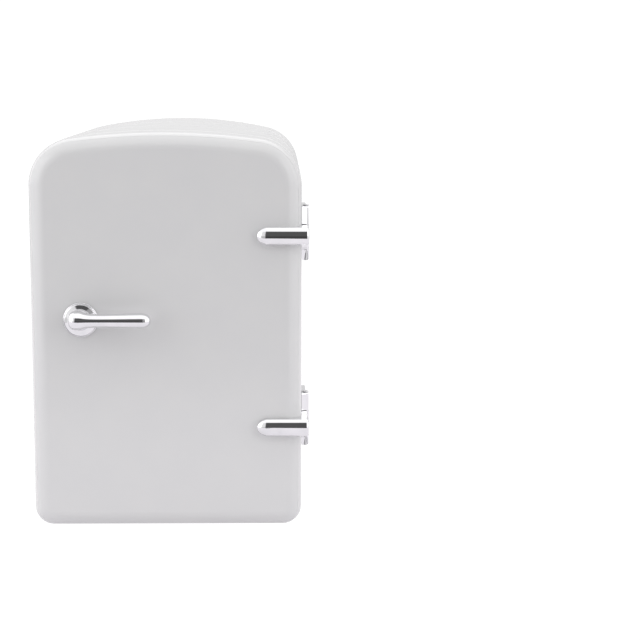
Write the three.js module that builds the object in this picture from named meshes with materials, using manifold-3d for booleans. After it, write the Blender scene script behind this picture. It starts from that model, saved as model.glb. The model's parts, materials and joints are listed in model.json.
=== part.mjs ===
// A small thermoelectric fridge: a crowned cabinet with a side-hung door and a lever latch,
// and a machine bay behind the rear cover that holds a fan, a heat sink and a power board.
// Millimetres, +Z up. The door faces -Y and hangs on the +X side.
// Sizes are counted from the middle of the cabinet, the door's front face and the cabinet's underside;
// the whole group is then moved so that its origin is the middle of its footprint, on the floor.
import * as THREE from "three";
import { mergeVertices } from "three/addons/utils/BufferGeometryUtils.js";
import Module from "manifold-3d";

const wasm = await Module();
wasm.setup();

// Driving dimensions
const width = 184;
const height = 271;
const footHeight = 5;
const doorDepth = 34;
const doorGap = 2;
const bodyDepth = 212;
const wall = 2.5;
const gap = 0.3; // between pieces that touch
const frontSection = { crown: 9, top: 32, bottom: 13 };
const rearSection = { crown: 13.5, top: 32, bottom: 13 };
const hingeProud = 6; // of the cabinet's side
const handleProud = 21; // of the door's front face

// Stations along Y
const bodyFront = doorDepth + doorGap;
const bodyRear = bodyFront + bodyDepth;
const coverRear = bodyRear - 0.3;
const coverFront = coverRear - 2.7;
const flange = 2;
const cavityRear = 173;
const foamRear = 193;
const bulkheadRear = foamRear + gap + flange;

// The cooled space and the shelf's ledges
const cavity = { half: 70, low: 30, high: 235, corner: 12 };
const ledge = { top: 129, thick: 3, reach: 3.5, front: 62 };

// Door
const doorRound = 11.5;
const plug = { inset: 3.5, depth: 6 };
const panelFront = doorDepth - 2.5;
const gasket = { half: 80, wide: 7.5, corner: 22 };
const rack = { half: 60, low: 40, high: 78, depth: 24, thick: 2 };

// Handle and latch
const handleX = -57.4;
const handleZ = 145;
const leverLift = 1.8; // of the lever's own centre line above the spindle
const leverY = -14.4;
const leverEnd = 48.4; // from the spindle to the lever's tip
const spindle = 4;
const hook = { front: 45.5, thick: 3, half: 4, hub: 4.5, reach: 11 };
const keeper = { front: 41.5, inner: -63.5 };

// Hinges
const hingeX = width / 2 + hingeProud - 2.8;
const hingeY = 33;
const hinge = { knuckle: 2.8, pin: 1.2, half: 19, under: 10.7, over: 5.9, drop: 1.6, leafRear: 62, leafThick: 3 };
const bar = { half: 5.85, start: 61.8, front: -6.85, edge: -4.75, rear: 0.5 };
const hingeHeights = { upper: 202.3, lower: 71.1 };
const leafScrew = { y: 54, z: 11, head: 2.7, shank: 1.2, length: 11 };

// Machine bay
const coolingZ = 164.5;
const heatSink = { half: 40, tall: 42, base: 4.2, rear: 220, fins: 13 };
const fan = { half: 40, front: 221, rear: 241, bore: 37.5, hub: 15.5, blades: 7 };
const board = { left: -44, right: 54, low: 219, high: 253, front: 210, thick: 1.6 };

// Rear cover
const cover = { inset: wall + gap, chamfer: 0.5, screwHead: 4, screwHole: 1.7 };
const topVent = { slots: 18, pitch: 6, slot: 3, low: 212.5, high: 253.5 };
const lowVent = { slots: 20, pitch: 6.1, slot: 3, low: 22, high: 62.5 };
const grille = { radius: 38.2, hub: 15.6, slots: 8, pitch: 10.05, slot: 4.4 };
const label = { half: 22.75, low: 80, high: 111 };
const coverScrews = [
  [-77.5, 240.5], [0, 261], [77.5, 240.5], [-81, 114.7],
  [81, 114.7], [-80.7, 10.5], [0, 10.5], [80.7, 10.5],
];

// Side of the machine bay: sockets and switch
const sideY = 221;
const acZ = 30;
const dcZ = 52;
const switchZ = 78;
const rockerX = 88;

// Feet
const foot = { radius: 7, x: 62.5, frontY: 60, rearY: 232, seat: 1 };

// ---- Solids ----

function toSolid(geometry) {
  const bare = geometry.clone();
  bare.deleteAttribute("normal");
  bare.deleteAttribute("uv");
  const merged = mergeVertices(bare, 1e-4);
  const mesh = new wasm.Mesh({
    numProp: 3,
    vertProperties: merged.attributes.position.array,
    triVerts: new Uint32Array(merged.index.array),
  });
  return new wasm.Manifold(mesh);
}

function toGeometry(solid) {
  const mesh = solid.getMesh();
  const geometry = new THREE.BufferGeometry();
  geometry.setAttribute("position", new THREE.BufferAttribute(mesh.vertProperties, 3));
  geometry.setIndex(new THREE.BufferAttribute(mesh.triVerts, 1));
  geometry.computeVertexNormals();
  return geometry;
}

function join(...parts) {
  return toGeometry(parts.map(toSolid).reduce((whole, part) => whole.add(part)));
}

function cut(base, ...tools) {
  return toGeometry(tools.map(toSolid).reduce((whole, tool) => whole.subtract(tool), toSolid(base)));
}

function common(first, second) {
  return toGeometry(toSolid(first).intersect(toSolid(second)));
}

function arc(x, z, radius, from, to, steps) {
  const points = [];
  for (let i = 0; i <= steps; i++) {
    const angle = from + ((to - from) * i) / steps;
    points.push(new THREE.Vector2(x + radius * Math.cos(angle), z + radius * Math.sin(angle)));
  }
  return points;
}

// The cabinet's outline across Y: flat underside, upright sides, round corners and a crowned top
function outline(section, inset) {
  const half = width / 2 - inset;
  const bottom = Math.max(section.bottom - inset, 1);
  const top = section.top - inset;
  const crownFull = ((width / 2) ** 2 + section.crown ** 2) / (2 * section.crown);
  const crown = crownFull - inset;
  const crownZ = height - crownFull;
  const topX = half - top;
  const topZ = crownZ + Math.sqrt((crown - top) ** 2 - topX ** 2);
  const tangent = Math.atan2(topZ - crownZ, topX);
  return [
    ...arc(half - bottom, inset + bottom, bottom, -Math.PI / 2, 0, 3),
    ...arc(topX, topZ, top, 0, tangent, 4),
    ...arc(0, crownZ, crown, tangent, Math.PI - tangent, 8).slice(1, -1),
    ...arc(-topX, topZ, top, Math.PI - tangent, Math.PI, 4),
    ...arc(bottom - half, inset + bottom, bottom, Math.PI, Math.PI * 1.5, 3),
  ];
}

function ringAt(y, points) {
  return points.map((p) => new THREE.Vector3(p.x, y, p.y));
}

function doorRing(y, inset) {
  return ringAt(y, outline(frontSection, inset));
}

// The body's outline changes evenly from the front section to the rear one
function bodyRing(y, inset) {
  const rear = outline(rearSection, inset);
  const share = (y - bodyFront) / bodyDepth;
  return ringAt(y, outline(frontSection, inset).map((p, i) => p.lerp(rear[i], share)));
}

// A closed solid through rings of equal count, given in order of Y
function loft(rings) {
  const count = rings[0].length;
  const flat = rings.flat().flatMap((p) => [p.x, p.y, p.z]);
  const faces = [];
  for (let i = 0; i + 1 < rings.length; i++) {
    for (let j = 0; j < count; j++) {
      const a = i * count + j;
      const b = i * count + ((j + 1) % count);
      faces.push(a, a + count, b + count, a, b + count, b);
    }
  }
  const cap = THREE.ShapeUtils.triangulateShape(rings[0].map((p) => new THREE.Vector2(p.x, p.z)), []);
  const last = (rings.length - 1) * count;
  for (const [a, b, c] of cap) {
    faces.push(a, b, c, last + a, last + c, last + b);
  }
  const geometry = new THREE.BufferGeometry();
  geometry.setAttribute("position", new THREE.Float32BufferAttribute(flat, 3));
  geometry.setIndex(faces);
  geometry.computeVertexNormals();
  return geometry;
}

function block(x0, x1, y0, y1, z0, z1) {
  const box = new THREE.BoxGeometry(x1 - x0, y1 - y0, z1 - z0);
  return box.translate((x0 + x1) / 2, (y0 + y1) / 2, (z0 + z1) / 2);
}

function rounded(left, right, low, high, radius) {
  const shape = new THREE.Shape();
  shape.absarc(right - radius, low + radius, radius, -Math.PI / 2, 0);
  shape.absarc(right - radius, high - radius, radius, 0, Math.PI / 2);
  shape.absarc(left + radius, high - radius, radius, Math.PI / 2, Math.PI);
  shape.absarc(left + radius, low + radius, radius, Math.PI, Math.PI * 1.5);
  return shape;
}

function polygon(...corners) {
  return new THREE.Shape(corners.map(([a, b]) => new THREE.Vector2(a, b)));
}

// An outline carried along an axis; it is drawn in (y, z) for x, in (x, z) for y and in (x, y) for z
function slab(axis, shape, from, to, curveSegments = 3) {
  const settings = { depth: to - from, bevelEnabled: false, curveSegments };
  const geometry = new THREE.ExtrudeGeometry(shape, settings);
  if (axis === "y") {
    return geometry.rotateX(Math.PI / 2).translate(0, to, 0);
  }
  if (axis === "x") {
    const turn = new THREE.Matrix4().makeBasis(
      new THREE.Vector3(0, 1, 0),
      new THREE.Vector3(0, 0, 1),
      new THREE.Vector3(1, 0, 0),
    );
    return geometry.applyMatrix4(turn).translate(from, 0, 0);
  }
  return geometry.translate(0, 0, from);
}

// A profile of [radius, station] pairs turned about an axis
function turned(axis, profile, centre = [0, 0, 0], sides = 16) {
  const geometry = new THREE.LatheGeometry(profile.map(([r, s]) => new THREE.Vector2(r, s)), sides);
  if (axis === "z") {
    geometry.rotateX(Math.PI / 2);
  }
  if (axis === "x") {
    geometry.rotateZ(-Math.PI / 2);
  }
  return geometry.translate(...centre);
}

function rod(axis, radius, from, to, centre, sides) {
  return turned(axis, [[0, from], [radius, from], [radius, to], [0, to]], centre, sides);
}

// A lead along a smooth curve through its points
function lead(diameter, ...points) {
  const path = new THREE.CatmullRomCurve3(points.map((p) => new THREE.Vector3(...p)));
  const section = new THREE.Shape(arc(0, 0, diameter / 2, 0, Math.PI * 1.75, 7));
  const steps = Math.round(path.getLength() / (3 * diameter));
  return new THREE.ExtrudeGeometry(section, { steps, extrudePath: path, bevelEnabled: false });
}

// ---- Cabinet ----

// Shallow grooves run round the body at a third and two thirds of its depth
function bodySkin() {
  const grooveDepth = 1;
  const grooveHalf = 2;
  const rings = [bodyRing(bodyFront, 0)];
  for (const y of [bodyFront + 71, bodyFront + 133]) {
    rings.push(bodyRing(y - grooveHalf, 0), bodyRing(y - 0.8, grooveDepth));
    rings.push(bodyRing(y + 0.8, grooveDepth), bodyRing(y + grooveHalf, 0));
  }
  rings.push(bodyRing(bodyRear, 0));
  return loft(rings);
}

// A post for a cover screw, tied to the nearest wall by a rib
function screwPost([x, z]) {
  const front = coverFront - 15;
  const rear = coverFront - gap;
  const reach = width / 2 - 2;
  const post = rod("y", 5, front, rear, [x, 0, z], 8);
  if (x !== 0) {
    const end = Math.sign(x) * reach;
    return join(post, block(Math.min(x, end), Math.max(x, end), front, rear, z - 2, z + 2));
  }
  const end = z > height / 2 ? height - 1.2 : 1.2;
  return join(post, block(-2, 2, front, rear, Math.min(z, end), Math.max(z, end)));
}

function bodyShell() {
  const hollow = loft([bodyRing(bodyFront - 1, wall), bodyRing(bodyRear + 1, wall)]);
  const { screwHole } = cover;
  const holes = coverScrews.map(([x, z]) => rod("y", screwHole, coverFront - 13, coverFront, [x, 0, z], 8));
  for (const x of [-foot.x, foot.x]) {
    for (const y of [foot.frontY, foot.rearY]) {
      holes.push(rod("z", foot.radius + gap, -1, foot.seat, [x, y, 0], 12));
    }
  }
  for (const z of Object.values(hingeHeights)) {
    holes.push(...leafScrewHoles(z));
  }
  holes.push(
    slab("x", rounded(sideY - 10, sideY + 10, acZ - 5.5, acZ + 5.5, 2.3), width / 2 - 5, width / 2 + 1),
    rod("x", 5.7, width / 2 - 5, width / 2 + 1, [0, sideY, dcZ]),
    block(width / 2 - 5, width / 2 + 1, sideY - 6.7, sideY + 6.7, switchZ - 10.5, switchZ + 10.5),
  );
  return cut(join(cut(bodySkin(), hollow), ...coverScrews.map(screwPost)), ...holes);
}

function innerLiner() {
  const { half, low, high, corner } = cavity;
  const rim = loft([bodyRing(bodyFront, wall + gap), bodyRing(bodyFront + flange, wall + gap)]);
  const tub = slab(
    "y",
    rounded(-half - flange, half + flange, low - flange, high + flange, corner + flange),
    bodyFront,
    cavityRear + flange,
  );
  const space = slab("y", rounded(-half, half, low, high, corner), bodyFront - 1, cavityRear);
  const shelfLedges = [-1, 1].map((side) => {
    const inner = side * (half - ledge.reach);
    const outer = side * (half + 1);
    const [x0, x1] = [Math.min(inner, outer), Math.max(inner, outer)];
    return block(x0, x1, ledge.front, cavityRear + 1, ledge.top - ledge.thick, ledge.top);
  });
  const holes = plateScrewPlaces.map((place) => rod("y", 1.5, cavityRear - 1, cavityRear + 3, place, 12));
  const open = cut(join(rim, tub), space);
  return cut(join(open, ...shelfLedges), blockWindow(0.6, cavityRear - 1, cavityRear + 3), ...holes);
}

// The square way through the insulation for the cold block
function blockWindow(play, from, to) {
  const half = 20 + play;
  return block(-half, half, from, to, coolingZ - half, coolingZ + half);
}

function cabinetInsulation() {
  const { half, low, high, corner } = cavity;
  const skin = flange + gap;
  const front = bodyFront + flange + gap;
  const fill = loft([bodyRing(front, wall + gap), bodyRing(foamRear, wall + gap)]);
  const tub = slab(
    "y",
    rounded(-half - skin, half + skin, low - skin, high + skin, corner + skin),
    front - 1,
    cavityRear + skin,
  );
  const holes = plateScrewPlaces.map((place) => rod("y", 1.5, cavityRear, cavityRear + 10, place, 12));
  for (const z of Object.values(hingeHeights)) {
    holes.push(...leafScrewHoles(z));
  }
  return cut(fill, tub, blockWindow(0.6, cavityRear, foamRear + 1), ...holes);
}

// The grey wall between the insulation and the machine bay, with posts for the power board
function bayBulkhead() {
  const plate = loft([bodyRing(foamRear + gap, wall + gap), bodyRing(bulkheadRear, wall + gap)]);
  const window = block(
    -heatSink.half - gap,
    heatSink.half + gap,
    foamRear - 1,
    bulkheadRear + 1,
    coolingZ - heatSink.tall - gap,
    coolingZ + heatSink.tall + gap,
  );
  const posts = [];
  for (const x of [board.left + 5, board.right - 5]) {
    for (const z of [board.low + 5, board.high - 5]) {
      posts.push(rod("y", 3, foamRear + 1, board.front - gap, [x, 0, z], 12));
    }
  }
  return cut(join(plate, ...posts), window);
}

function rearCover() {
  const plate = loft([
    bodyRing(coverFront, cover.inset),
    bodyRing(coverRear - cover.chamfer, cover.inset),
    bodyRing(coverRear, cover.inset + cover.chamfer),
  ]);
  const holes = coverScrews.flatMap(([x, z]) => [
    rod("y", cover.screwHead, coverRear - 1.7, coverRear + 1, [x, 0, z], 14),
    rod("y", cover.screwHole, coverFront - 1, coverRear, [x, 0, z], 8),
  ]);
  const labelHalf = label.half + gap;
  const recess = block(-labelHalf, labelHalf, coverRear - 0.8, coverRear + 1, label.low, label.high);
  return cut(plate, ...holes, recess, ...ventSlots(topVent), ...ventSlots(lowVent), ...grilleSlots());
}

function ventSlots({ slots, pitch, slot, low, high }) {
  return Array.from({ length: slots }, (_, i) => {
    const x = (i - (slots - 1) / 2) * pitch;
    return block(x - slot / 2, x + slot / 2, coverFront - 1, coverRear + 1, low, high);
  });
}

// Upright slots inside a circle, interrupted by a plain disc in the middle; the end slots reach the circle
function grilleSlots() {
  const { radius, hub, slots, pitch, slot } = grille;
  const centre = [0, 0, coolingZ];
  const outer = rod("y", radius, coverFront - 1, coverRear + 1, centre, 40);
  const middle = rod("y", hub, coverFront - 2, coverRear + 2, centre, 24);
  const band = cut(outer, middle);
  return Array.from({ length: slots }, (_, i) => {
    const x = (i - (slots - 1) / 2) * pitch;
    const left = i === 0 ? -radius - 1 : x - slot / 2;
    const right = i === slots - 1 ? radius + 1 : x + slot / 2;
    return common(band, block(left, right, coverFront - 1, coverRear + 1, coolingZ - 50, coolingZ + 50));
  });
}

function ratingLabel() {
  const [low, high] = [label.low + gap, label.high - gap];
  return block(-label.half, label.half, coverRear - 0.5, coverRear - 0.1, low, high);
}

function coverScrew() {
  const headFront = coverRear - 1.4;
  return turned("y", [
    [0, coverFront - 12],
    [1.3, coverFront - 11],
    [1.3, headFront],
    [3.4, headFront],
    [3.2, coverRear - 0.4],
    [0, coverRear - 0.4],
  ], [0, 0, 0], 10);
}

function rubberFoot() {
  const { radius, seat } = foot;
  const top = seat - gap;
  return turned("z", [
    [0, -footHeight],
    [radius - 1, -footHeight],
    [radius, 1 - footHeight],
    [radius, top],
    [0, top],
  ], [0, 0, 0], 12);
}

// ---- Cooling ----

const plateScrewPlaces = [[-42, 0, coolingZ + 50], [42, 0, coolingZ + 50]];

function coldPlate() {
  const shape = rounded(-50, 50, coolingZ - 60, coolingZ + 60, 6);
  const plate = slab("y", shape, cavityRear - 2.3, cavityRear - gap);
  const holes = plateScrewPlaces.map((place) => rod("y", 1.6, cavityRear - 3, cavityRear, place, 12));
  return cut(plate, ...holes);
}

function plateScrew() {
  const face = cavityRear - 2.3 - gap;
  return turned("y", [
    [0, face - 1.5],
    [2, face - 1.5],
    [3, face],
    [1.2, face],
    [1.2, face + 11],
    [0, face + 11],
  ], [0, 0, 0], 10);
}

function heatSinkSolid() {
  const { half, tall, base, rear, fins } = heatSink;
  const front = foamRear + 0.8;
  const pieces = [block(-half, half, front, front + base, coolingZ - tall, coolingZ + tall)];
  for (let i = 0; i < fins; i++) {
    const x = -half + 0.6 + (i * (2 * half - 1.2)) / (fins - 1);
    pieces.push(block(x - 0.6, x + 0.6, front + 1, rear, coolingZ - tall, coolingZ + tall));
  }
  return join(...pieces);
}

function fanFrame() {
  const { half, front, rear, bore } = fan;
  const centre = [0, 0, coolingZ];
  const square = slab("y", rounded(-half, half, coolingZ - half, coolingZ + half, 4), front, rear);
  const plateRear = front + 2.5;
  const struts = [[10, bore + 1], [-bore - 1, -10]].flatMap(([from, to]) => [
    block(from, to, front, plateRear, coolingZ - 1.5, coolingZ + 1.5),
    block(-1.5, 1.5, front, plateRear, coolingZ + from, coolingZ + to),
  ]);
  const open = cut(square, rod("y", bore, front - 1, rear + 1, centre, 22));
  const motorPlate = rod("y", 15, front, plateRear, centre, 12);
  const holes = [rod("y", 1.9, front - 1, rear, centre, 12)];
  for (const x of [-1, 1]) {
    for (const z of [-1, 1]) {
      holes.push(rod("y", 2.2, front - 1, rear + 1, [x * (half - 4.2), 0, coolingZ + z * (half - 4.2)], 8));
    }
  }
  return cut(join(open, ...struts, motorPlate), ...holes);
}

// Hub, shaft and pitched blades, centred on the fan's own axis
function fanRotor() {
  const hubFront = fan.front + 3;
  const hubRear = fan.rear - 1.5;
  const middle = (hubFront + hubRear) / 2;
  const pieces = [
    rod("y", fan.hub, hubFront, hubRear, [0, 0, 0]),
    rod("y", 1.5, fan.front + 0.5, hubFront + 1, [0, 0, 0], 12),
  ];
  for (let i = 0; i < fan.blades; i++) {
    const blade = block(fan.hub - 2, fan.bore - 1.2, -0.7, 0.7, -8.5, 8.5);
    blade.rotateX((50 * Math.PI) / 180);
    blade.translate(0, middle, 0);
    blade.rotateY((i * 2 * Math.PI) / fan.blades);
    pieces.push(blade);
  }
  return join(...pieces);
}

function boardHeatSink() {
  const front = board.front + board.thick + gap;
  const pieces = [block(14, 30, front, front + 2, 226, 250)];
  for (const x of [14, 18.8, 23.6, 28.4]) {
    pieces.push(block(x, x + 1.6, front + 1, front + 15, 226, 250));
  }
  return join(...pieces);
}

function boardCan(radius, length) {
  const front = board.front + board.thick + gap;
  const rear = front + length;
  return turned("y", [[0, front], [radius, front], [radius, rear - 0.6], [radius - 0.6, rear], [0, rear]]);
}

// ---- Sockets and switch on the +X side ----

const bezelRear = width / 2 + gap;

function acInlet() {
  const bezel = slab("x", rounded(-12, 12, -7.5, 7.5, 3), bezelRear, bezelRear + 1.2);
  const body = slab("x", rounded(-9.7, 9.7, -5.2, 5.2, 2), 80, bezelRear + 0.5);
  const recess = slab("x", rounded(-7.9, 7.9, -3.9, 3.9, 3.8), 83, bezelRear + 2);
  const pins = [-4.3, 4.3].map((y) => rod("x", 1.15, 82, 90, [0, y, 0], 12));
  return join(cut(join(bezel, body), recess), ...pins);
}

function dcInlet() {
  const body = turned("x", [
    [0, 80],
    [5.4, 80],
    [5.4, bezelRear],
    [7, bezelRear],
    [6.6, bezelRear + 1],
    [0, bezelRear + 1],
  ]);
  const recess = rod("x", 2.9, 83, bezelRear + 2, [0, 0, 0]);
  return join(cut(body, recess), rod("x", 1, 82, 91, [0, 0, 0], 12));
}

function switchHousing() {
  const bezel = slab("x", rounded(-8, 8, -12, 12, 2), bezelRear, bezelRear + 1.2);
  const body = block(80, bezelRear + 0.5, -6.4, 6.4, -10.2, 10.2);
  const recess = block(83.5, bezelRear + 2, -5.2, 5.2, -9.2, 9.2);
  return cut(join(bezel, body), recess, rod("y", 1.6, -7, 7, [rockerX, 0, 0], 12));
}

// A shallow vee across the travel, on a cross pin that is its pivot
function modeRocker() {
  const face = polygon([-1.6, -7.2], [5.8, -7], [4.2, 0], [5.8, 7], [-1.6, 7.2]);
  return join(slab("y", face, -4.8, 4.8), rod("y", 1.2, -6, 6, [0, 0, 0], 12));
}

// ---- Shelf ----

function shelf() {
  const low = ledge.top + gap;
  const front = 70;
  const rear = cavityRear - 4;
  const plate = slab("z", rounded(-69.2, 69.2, front, rear, 5), low, low + 2.5);
  const lip = block(-66, 66, front, front + 2.5, low, low + 6);
  const slots = [-2.5, -1.5, -0.5, 0.5, 1.5, 2.5].map((i) =>
    slab("z", rounded(i * 20 - 4, i * 20 + 4, front + 14, rear - 12, 3.9), low - 1, low + 4, 2),
  );
  return cut(join(plate, lip), ...slots);
}

// ---- Door ----

// The door's body: a round edge from the front face into the side, and a straight side back to rearY
function doorBody(inset, rearY) {
  const radius = doorRound - inset;
  const steps = 4;
  const rings = [];
  for (let i = steps; i >= 0; i--) {
    const angle = (i * Math.PI) / 2 / steps;
    rings.push(doorRing(inset + radius * (1 - Math.sin(angle)), inset + radius * (1 - Math.cos(angle))));
  }
  rings.push(doorRing(rearY, inset));
  return loft(rings);
}

function spindleHole() {
  return rod("y", spindle + 0.6, -5, 60, [handleX, 0, handleZ]);
}

function doorOuterShell() {
  return cut(doorBody(0, doorDepth), doorBody(wall, doorDepth + 1), spindleHole());
}

function doorInsulation() {
  return cut(doorBody(wall + gap, panelFront - gap), spindleHole());
}

function gasketRing(from, to, play) {
  const { half, wide, corner } = gasket;
  const low = cavity.low - half + cavity.half;
  const high = cavity.high + half - cavity.half;
  const shape = (shrink) =>
    rounded(-half + shrink, half - shrink, low + shrink, high - shrink, corner - shrink);
  return cut(slab("y", shape(-play), from, to), slab("y", shape(wide + play), from - 1, to + 1));
}

// The raised plug that enters the cavity's mouth, inset from the mouth on every side
function plugSolid(skin, from, to) {
  const inset = plug.inset + skin;
  const { half, low, high, corner } = cavity;
  const shape = rounded(-half + inset, half - inset, low + inset, high - inset, corner - skin);
  return slab("y", shape, from, to);
}

function doorInnerPanel() {
  const rim = loft([doorRing(panelFront, wall + gap), doorRing(doorDepth, wall + gap)]);
  const raised = plugSolid(0, doorDepth - 1, doorDepth + plug.depth);
  const back = plugSolid(2, panelFront - 1, doorDepth + plug.depth - 2);
  return cut(join(rim, raised), back, gasketRing(doorDepth - 1.2, doorDepth + 1, gap), spindleHole());
}

function doorGasket() {
  return gasketRing(doorDepth - 0.9, bodyFront - gap, 0);
}

function doorRack() {
  const { half, low, high, depth, thick } = rack;
  const front = doorDepth + plug.depth + gap;
  const rear = front + depth;
  const outer = slab("z", rounded(-half, half, front, rear, 4), low, high);
  const inside = rounded(-half + thick, half - thick, front + thick, rear - thick, 2.5);
  const pocket = slab("z", inside, low + thick, high + 1);
  const lowRear = block(-half + 14, half - 14, rear - thick - 1, rear + 1, high - 12, high + 1);
  return cut(outer, pocket, lowRear);
}

// ---- Handle and latch: drawn about the spindle's axis ----

function handleRosette() {
  const bore = spindle + 0.6;
  return turned("y", [
    [bore, -gap],
    [bore, -4.2],
    [8.4, -4.2],
    [10.8, -3],
    [11.8, -gap],
    [bore, -gap],
  ], [0, 0, 0], 24);
}

// A bullet-ended lever with a slight waist, carried on a boss and spindle
function handleLever() {
  const outlineCurve = new THREE.SplineCurve([
    new THREE.Vector2(0, -6.4),
    new THREE.Vector2(5, -4.2),
    new THREE.Vector2(6.6, 0),
    new THREE.Vector2(4.7, 12),
    new THREE.Vector2(5.1, 28),
    new THREE.Vector2(5.3, leverEnd - 9),
    new THREE.Vector2(3.6, leverEnd - 2),
    new THREE.Vector2(0, leverEnd),
  ]);
  const profile = outlineCurve.getPoints(14).map((p) => [Math.max(p.x, 0), p.y]);
  profile[0][0] = 0;
  profile[profile.length - 1][0] = 0;
  const arm = turned("x", profile, [0, leverY, leverLift]);
  const boss = turned("y", [[0, leverY], [6.2, leverY], [6.3, -9], [7.4, -4.5], [0, -4.5]], [0, 0, 0.6]);
  const shaft = rod("y", spindle, -5, hook.front - gap, [0, 0, 0]);
  return join(arm, boss, shaft);
}

function latchHook() {
  const { front, thick, half, hub, reach } = hook;
  return join(
    rod("y", hub, front, front + thick, [0, 0, 0]),
    slab("y", rounded(-half, half, -reach, 0.5, 1.5), front, front + thick),
  );
}

function latchKeeper() {
  const wallX = gap - cavity.half;
  const { front, inner } = keeper;
  const rear = hook.front - 0.5;
  return join(
    block(wallX, inner, front, rear, handleZ - 6, handleZ + 6),
    block(wallX, wallX + 1.3, front, rear, handleZ - 14, handleZ + 14),
  );
}

// ---- Hinges: the strap is drawn about the bar's height, and the leaf and pin about the leaf's middle ----

function hingePinHole() {
  return rod("z", hinge.pin + gap, -30, 30, [hingeX, hingeY, 0], 12);
}

// A domed bar with a half-round end over the door's face, carried back along the door's edge and
// spread to the middle knuckle
function hingeStrap() {
  const { knuckle, under, over, drop } = hinge;
  const { half, start, front, edge, rear } = bar;
  const outer = width / 2 + hingeProud;
  const rise = edge - front;
  const radius = (half ** 2 + rise ** 2) / (2 * rise);
  const lean = Math.asin(half / radius);
  const dome = arc(front + radius, 0, radius, Math.PI + lean, Math.PI - lean, 6);
  const section = polygon(...dome.map((p) => [p.x, p.y]), [rear, half], [rear, -half]);
  const straight = slab("x", section, start + half, outer);
  const crown = dome.slice(3).map((p) => [Math.max(p.y, 0), p.x]);
  crown[0][0] = 0;
  const end = turned("y", [...crown, [half, rear], [0, rear]], [start + half, 0, 0], 20);
  const [low, high] = [-under - drop, over - drop];
  const side = polygon(
    [edge, -half], [10, -half], [24, low], [hingeY, low],
    [hingeY, high], [24, high], [10, half], [edge, half],
  );
  const arm = slab("x", side, width / 2 - 2, outer);
  const knuckleRod = rod("z", knuckle, low, high, [hingeX, hingeY, 0]);
  return cut(join(straight, end, arm, knuckleRod), doorClearance(), hingePinHole());
}

// The door's straight-sided middle, grown by the gap
function doorClearance() {
  return doorBody(-gap, doorDepth + 5).translate(0, 0, -height / 2);
}

function hingeLeaf() {
  const { knuckle, under, over, half, leafRear, leafThick } = hinge;
  const inner = width / 2 + gap;
  const outer = width / 2 + hingeProud;
  const plate = slab("x", rounded(38, leafRear, -half, half, 5), inner, inner + leafThick);
  const ears = [-1, 1].flatMap((side) => {
    const [low, high] = side > 0 ? [over + gap, half] : [-half, -under - gap];
    const shape = polygon(
      [inner + 0.1, hingeY], [outer, hingeY], [outer, 38], [inner + leafThick, 43], [inner + 0.1, 43],
    );
    return [slab("z", shape, low, high), rod("z", knuckle, low, high, [hingeX, hingeY, 0])];
  });
  const sinks = [-1, 1].flatMap((side) => {
    const centre = [0, leafScrew.y, side * leafScrew.z];
    const face = inner + leafThick;
    return [
      rod("x", leafScrew.head + gap, face - 1.3, face + 1, centre, 12),
      rod("x", leafScrew.shank + gap, inner - 1, face, centre, 8),
    ];
  });
  return cut(join(plate, ...ears), ...sinks, hingePinHole());
}

function hingePin() {
  const { pin, half } = hinge;
  const head = half + gap;
  return turned("z", [
    [0, -half],
    [pin, -half],
    [pin, head],
    [2.2, head],
    [1.9, head + 0.5],
    [0, head + 0.5],
  ], [0, 0, 0], 12);
}

function leafScrewSolid() {
  const { head, shank, length } = leafScrew;
  const top = hinge.leafThick + gap - 0.1;
  return turned("x", [
    [0, top - length],
    [shank, top - length + 1],
    [shank, top - 0.9],
    [head, top - 0.9],
    [head - 0.3, top],
    [0, top],
  ], [0, 0, 0], 10);
}

// Clearance for a leaf's screws through the side of the cabinet
function leafScrewHoles(z) {
  return [-1, 1].map((side) => {
    const centre = [0, leafScrew.y, z - hinge.drop + side * leafScrew.z];
    return rod("x", leafScrew.shank + gap, width / 2 - 10, width / 2 + 1, centre, 8);
  });
}

// ---- Materials ----

function material(color, roughness, metalness = 0) {
  return new THREE.MeshStandardMaterial({ color, roughness, metalness });
}

const whiteShell = () => material(0xe4e4e4, 0.3);
const whiteInner = () => material(0xeceef0, 0.4);
const greyPlastic = () => material(0x9a9a9a, 0.6);
const blackPlastic = () => material(0x1c1c1e, 0.5);
const foamMaterial = () => material(0xf4f2ea, 0.95);
const chrome = () => material(0xd8d8dc, 0.08, 1);
const aluminium = () => material(0xb8babd, 0.4, 1);
const rubber = () => material(0x202022, 0.85);
const steel = () => material(0x8c8c8e, 0.4, 1);

// ---- Assembly ----

function place(group, name, geometry, look, position = [0, 0, 0]) {
  const mesh = new THREE.Mesh(geometry, look);
  mesh.name = name;
  mesh.position.set(...position);
  group.add(mesh);
  return mesh;
}

function cabinetGroup() {
  const group = new THREE.Group();
  place(group, "body_shell", bodyShell(), whiteShell());
  place(group, "inner_liner", innerLiner(), whiteInner());
  place(group, "cabinet_insulation", cabinetInsulation(), foamMaterial());
  place(group, "bay_bulkhead", bayBulkhead(), greyPlastic());
  place(group, "rear_cover", rearCover(), whiteShell());
  place(group, "rating_label", ratingLabel(), material(0xf2f2f2, 0.6));
  place(group, "latch_keeper", latchKeeper(), whiteInner());
  coverScrews.forEach(([x, z], i) => {
    place(group, `rear_cover_screw_${i + 1}`, coverScrew(), steel(), [x, 0, z]);
  });
  let count = 0;
  for (const y of [foot.frontY, foot.rearY]) {
    for (const x of [-foot.x, foot.x]) {
      count += 1;
      place(group, `foot_${count}`, rubberFoot(), rubber(), [x, y, 0]);
    }
  }
  return group;
}

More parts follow.
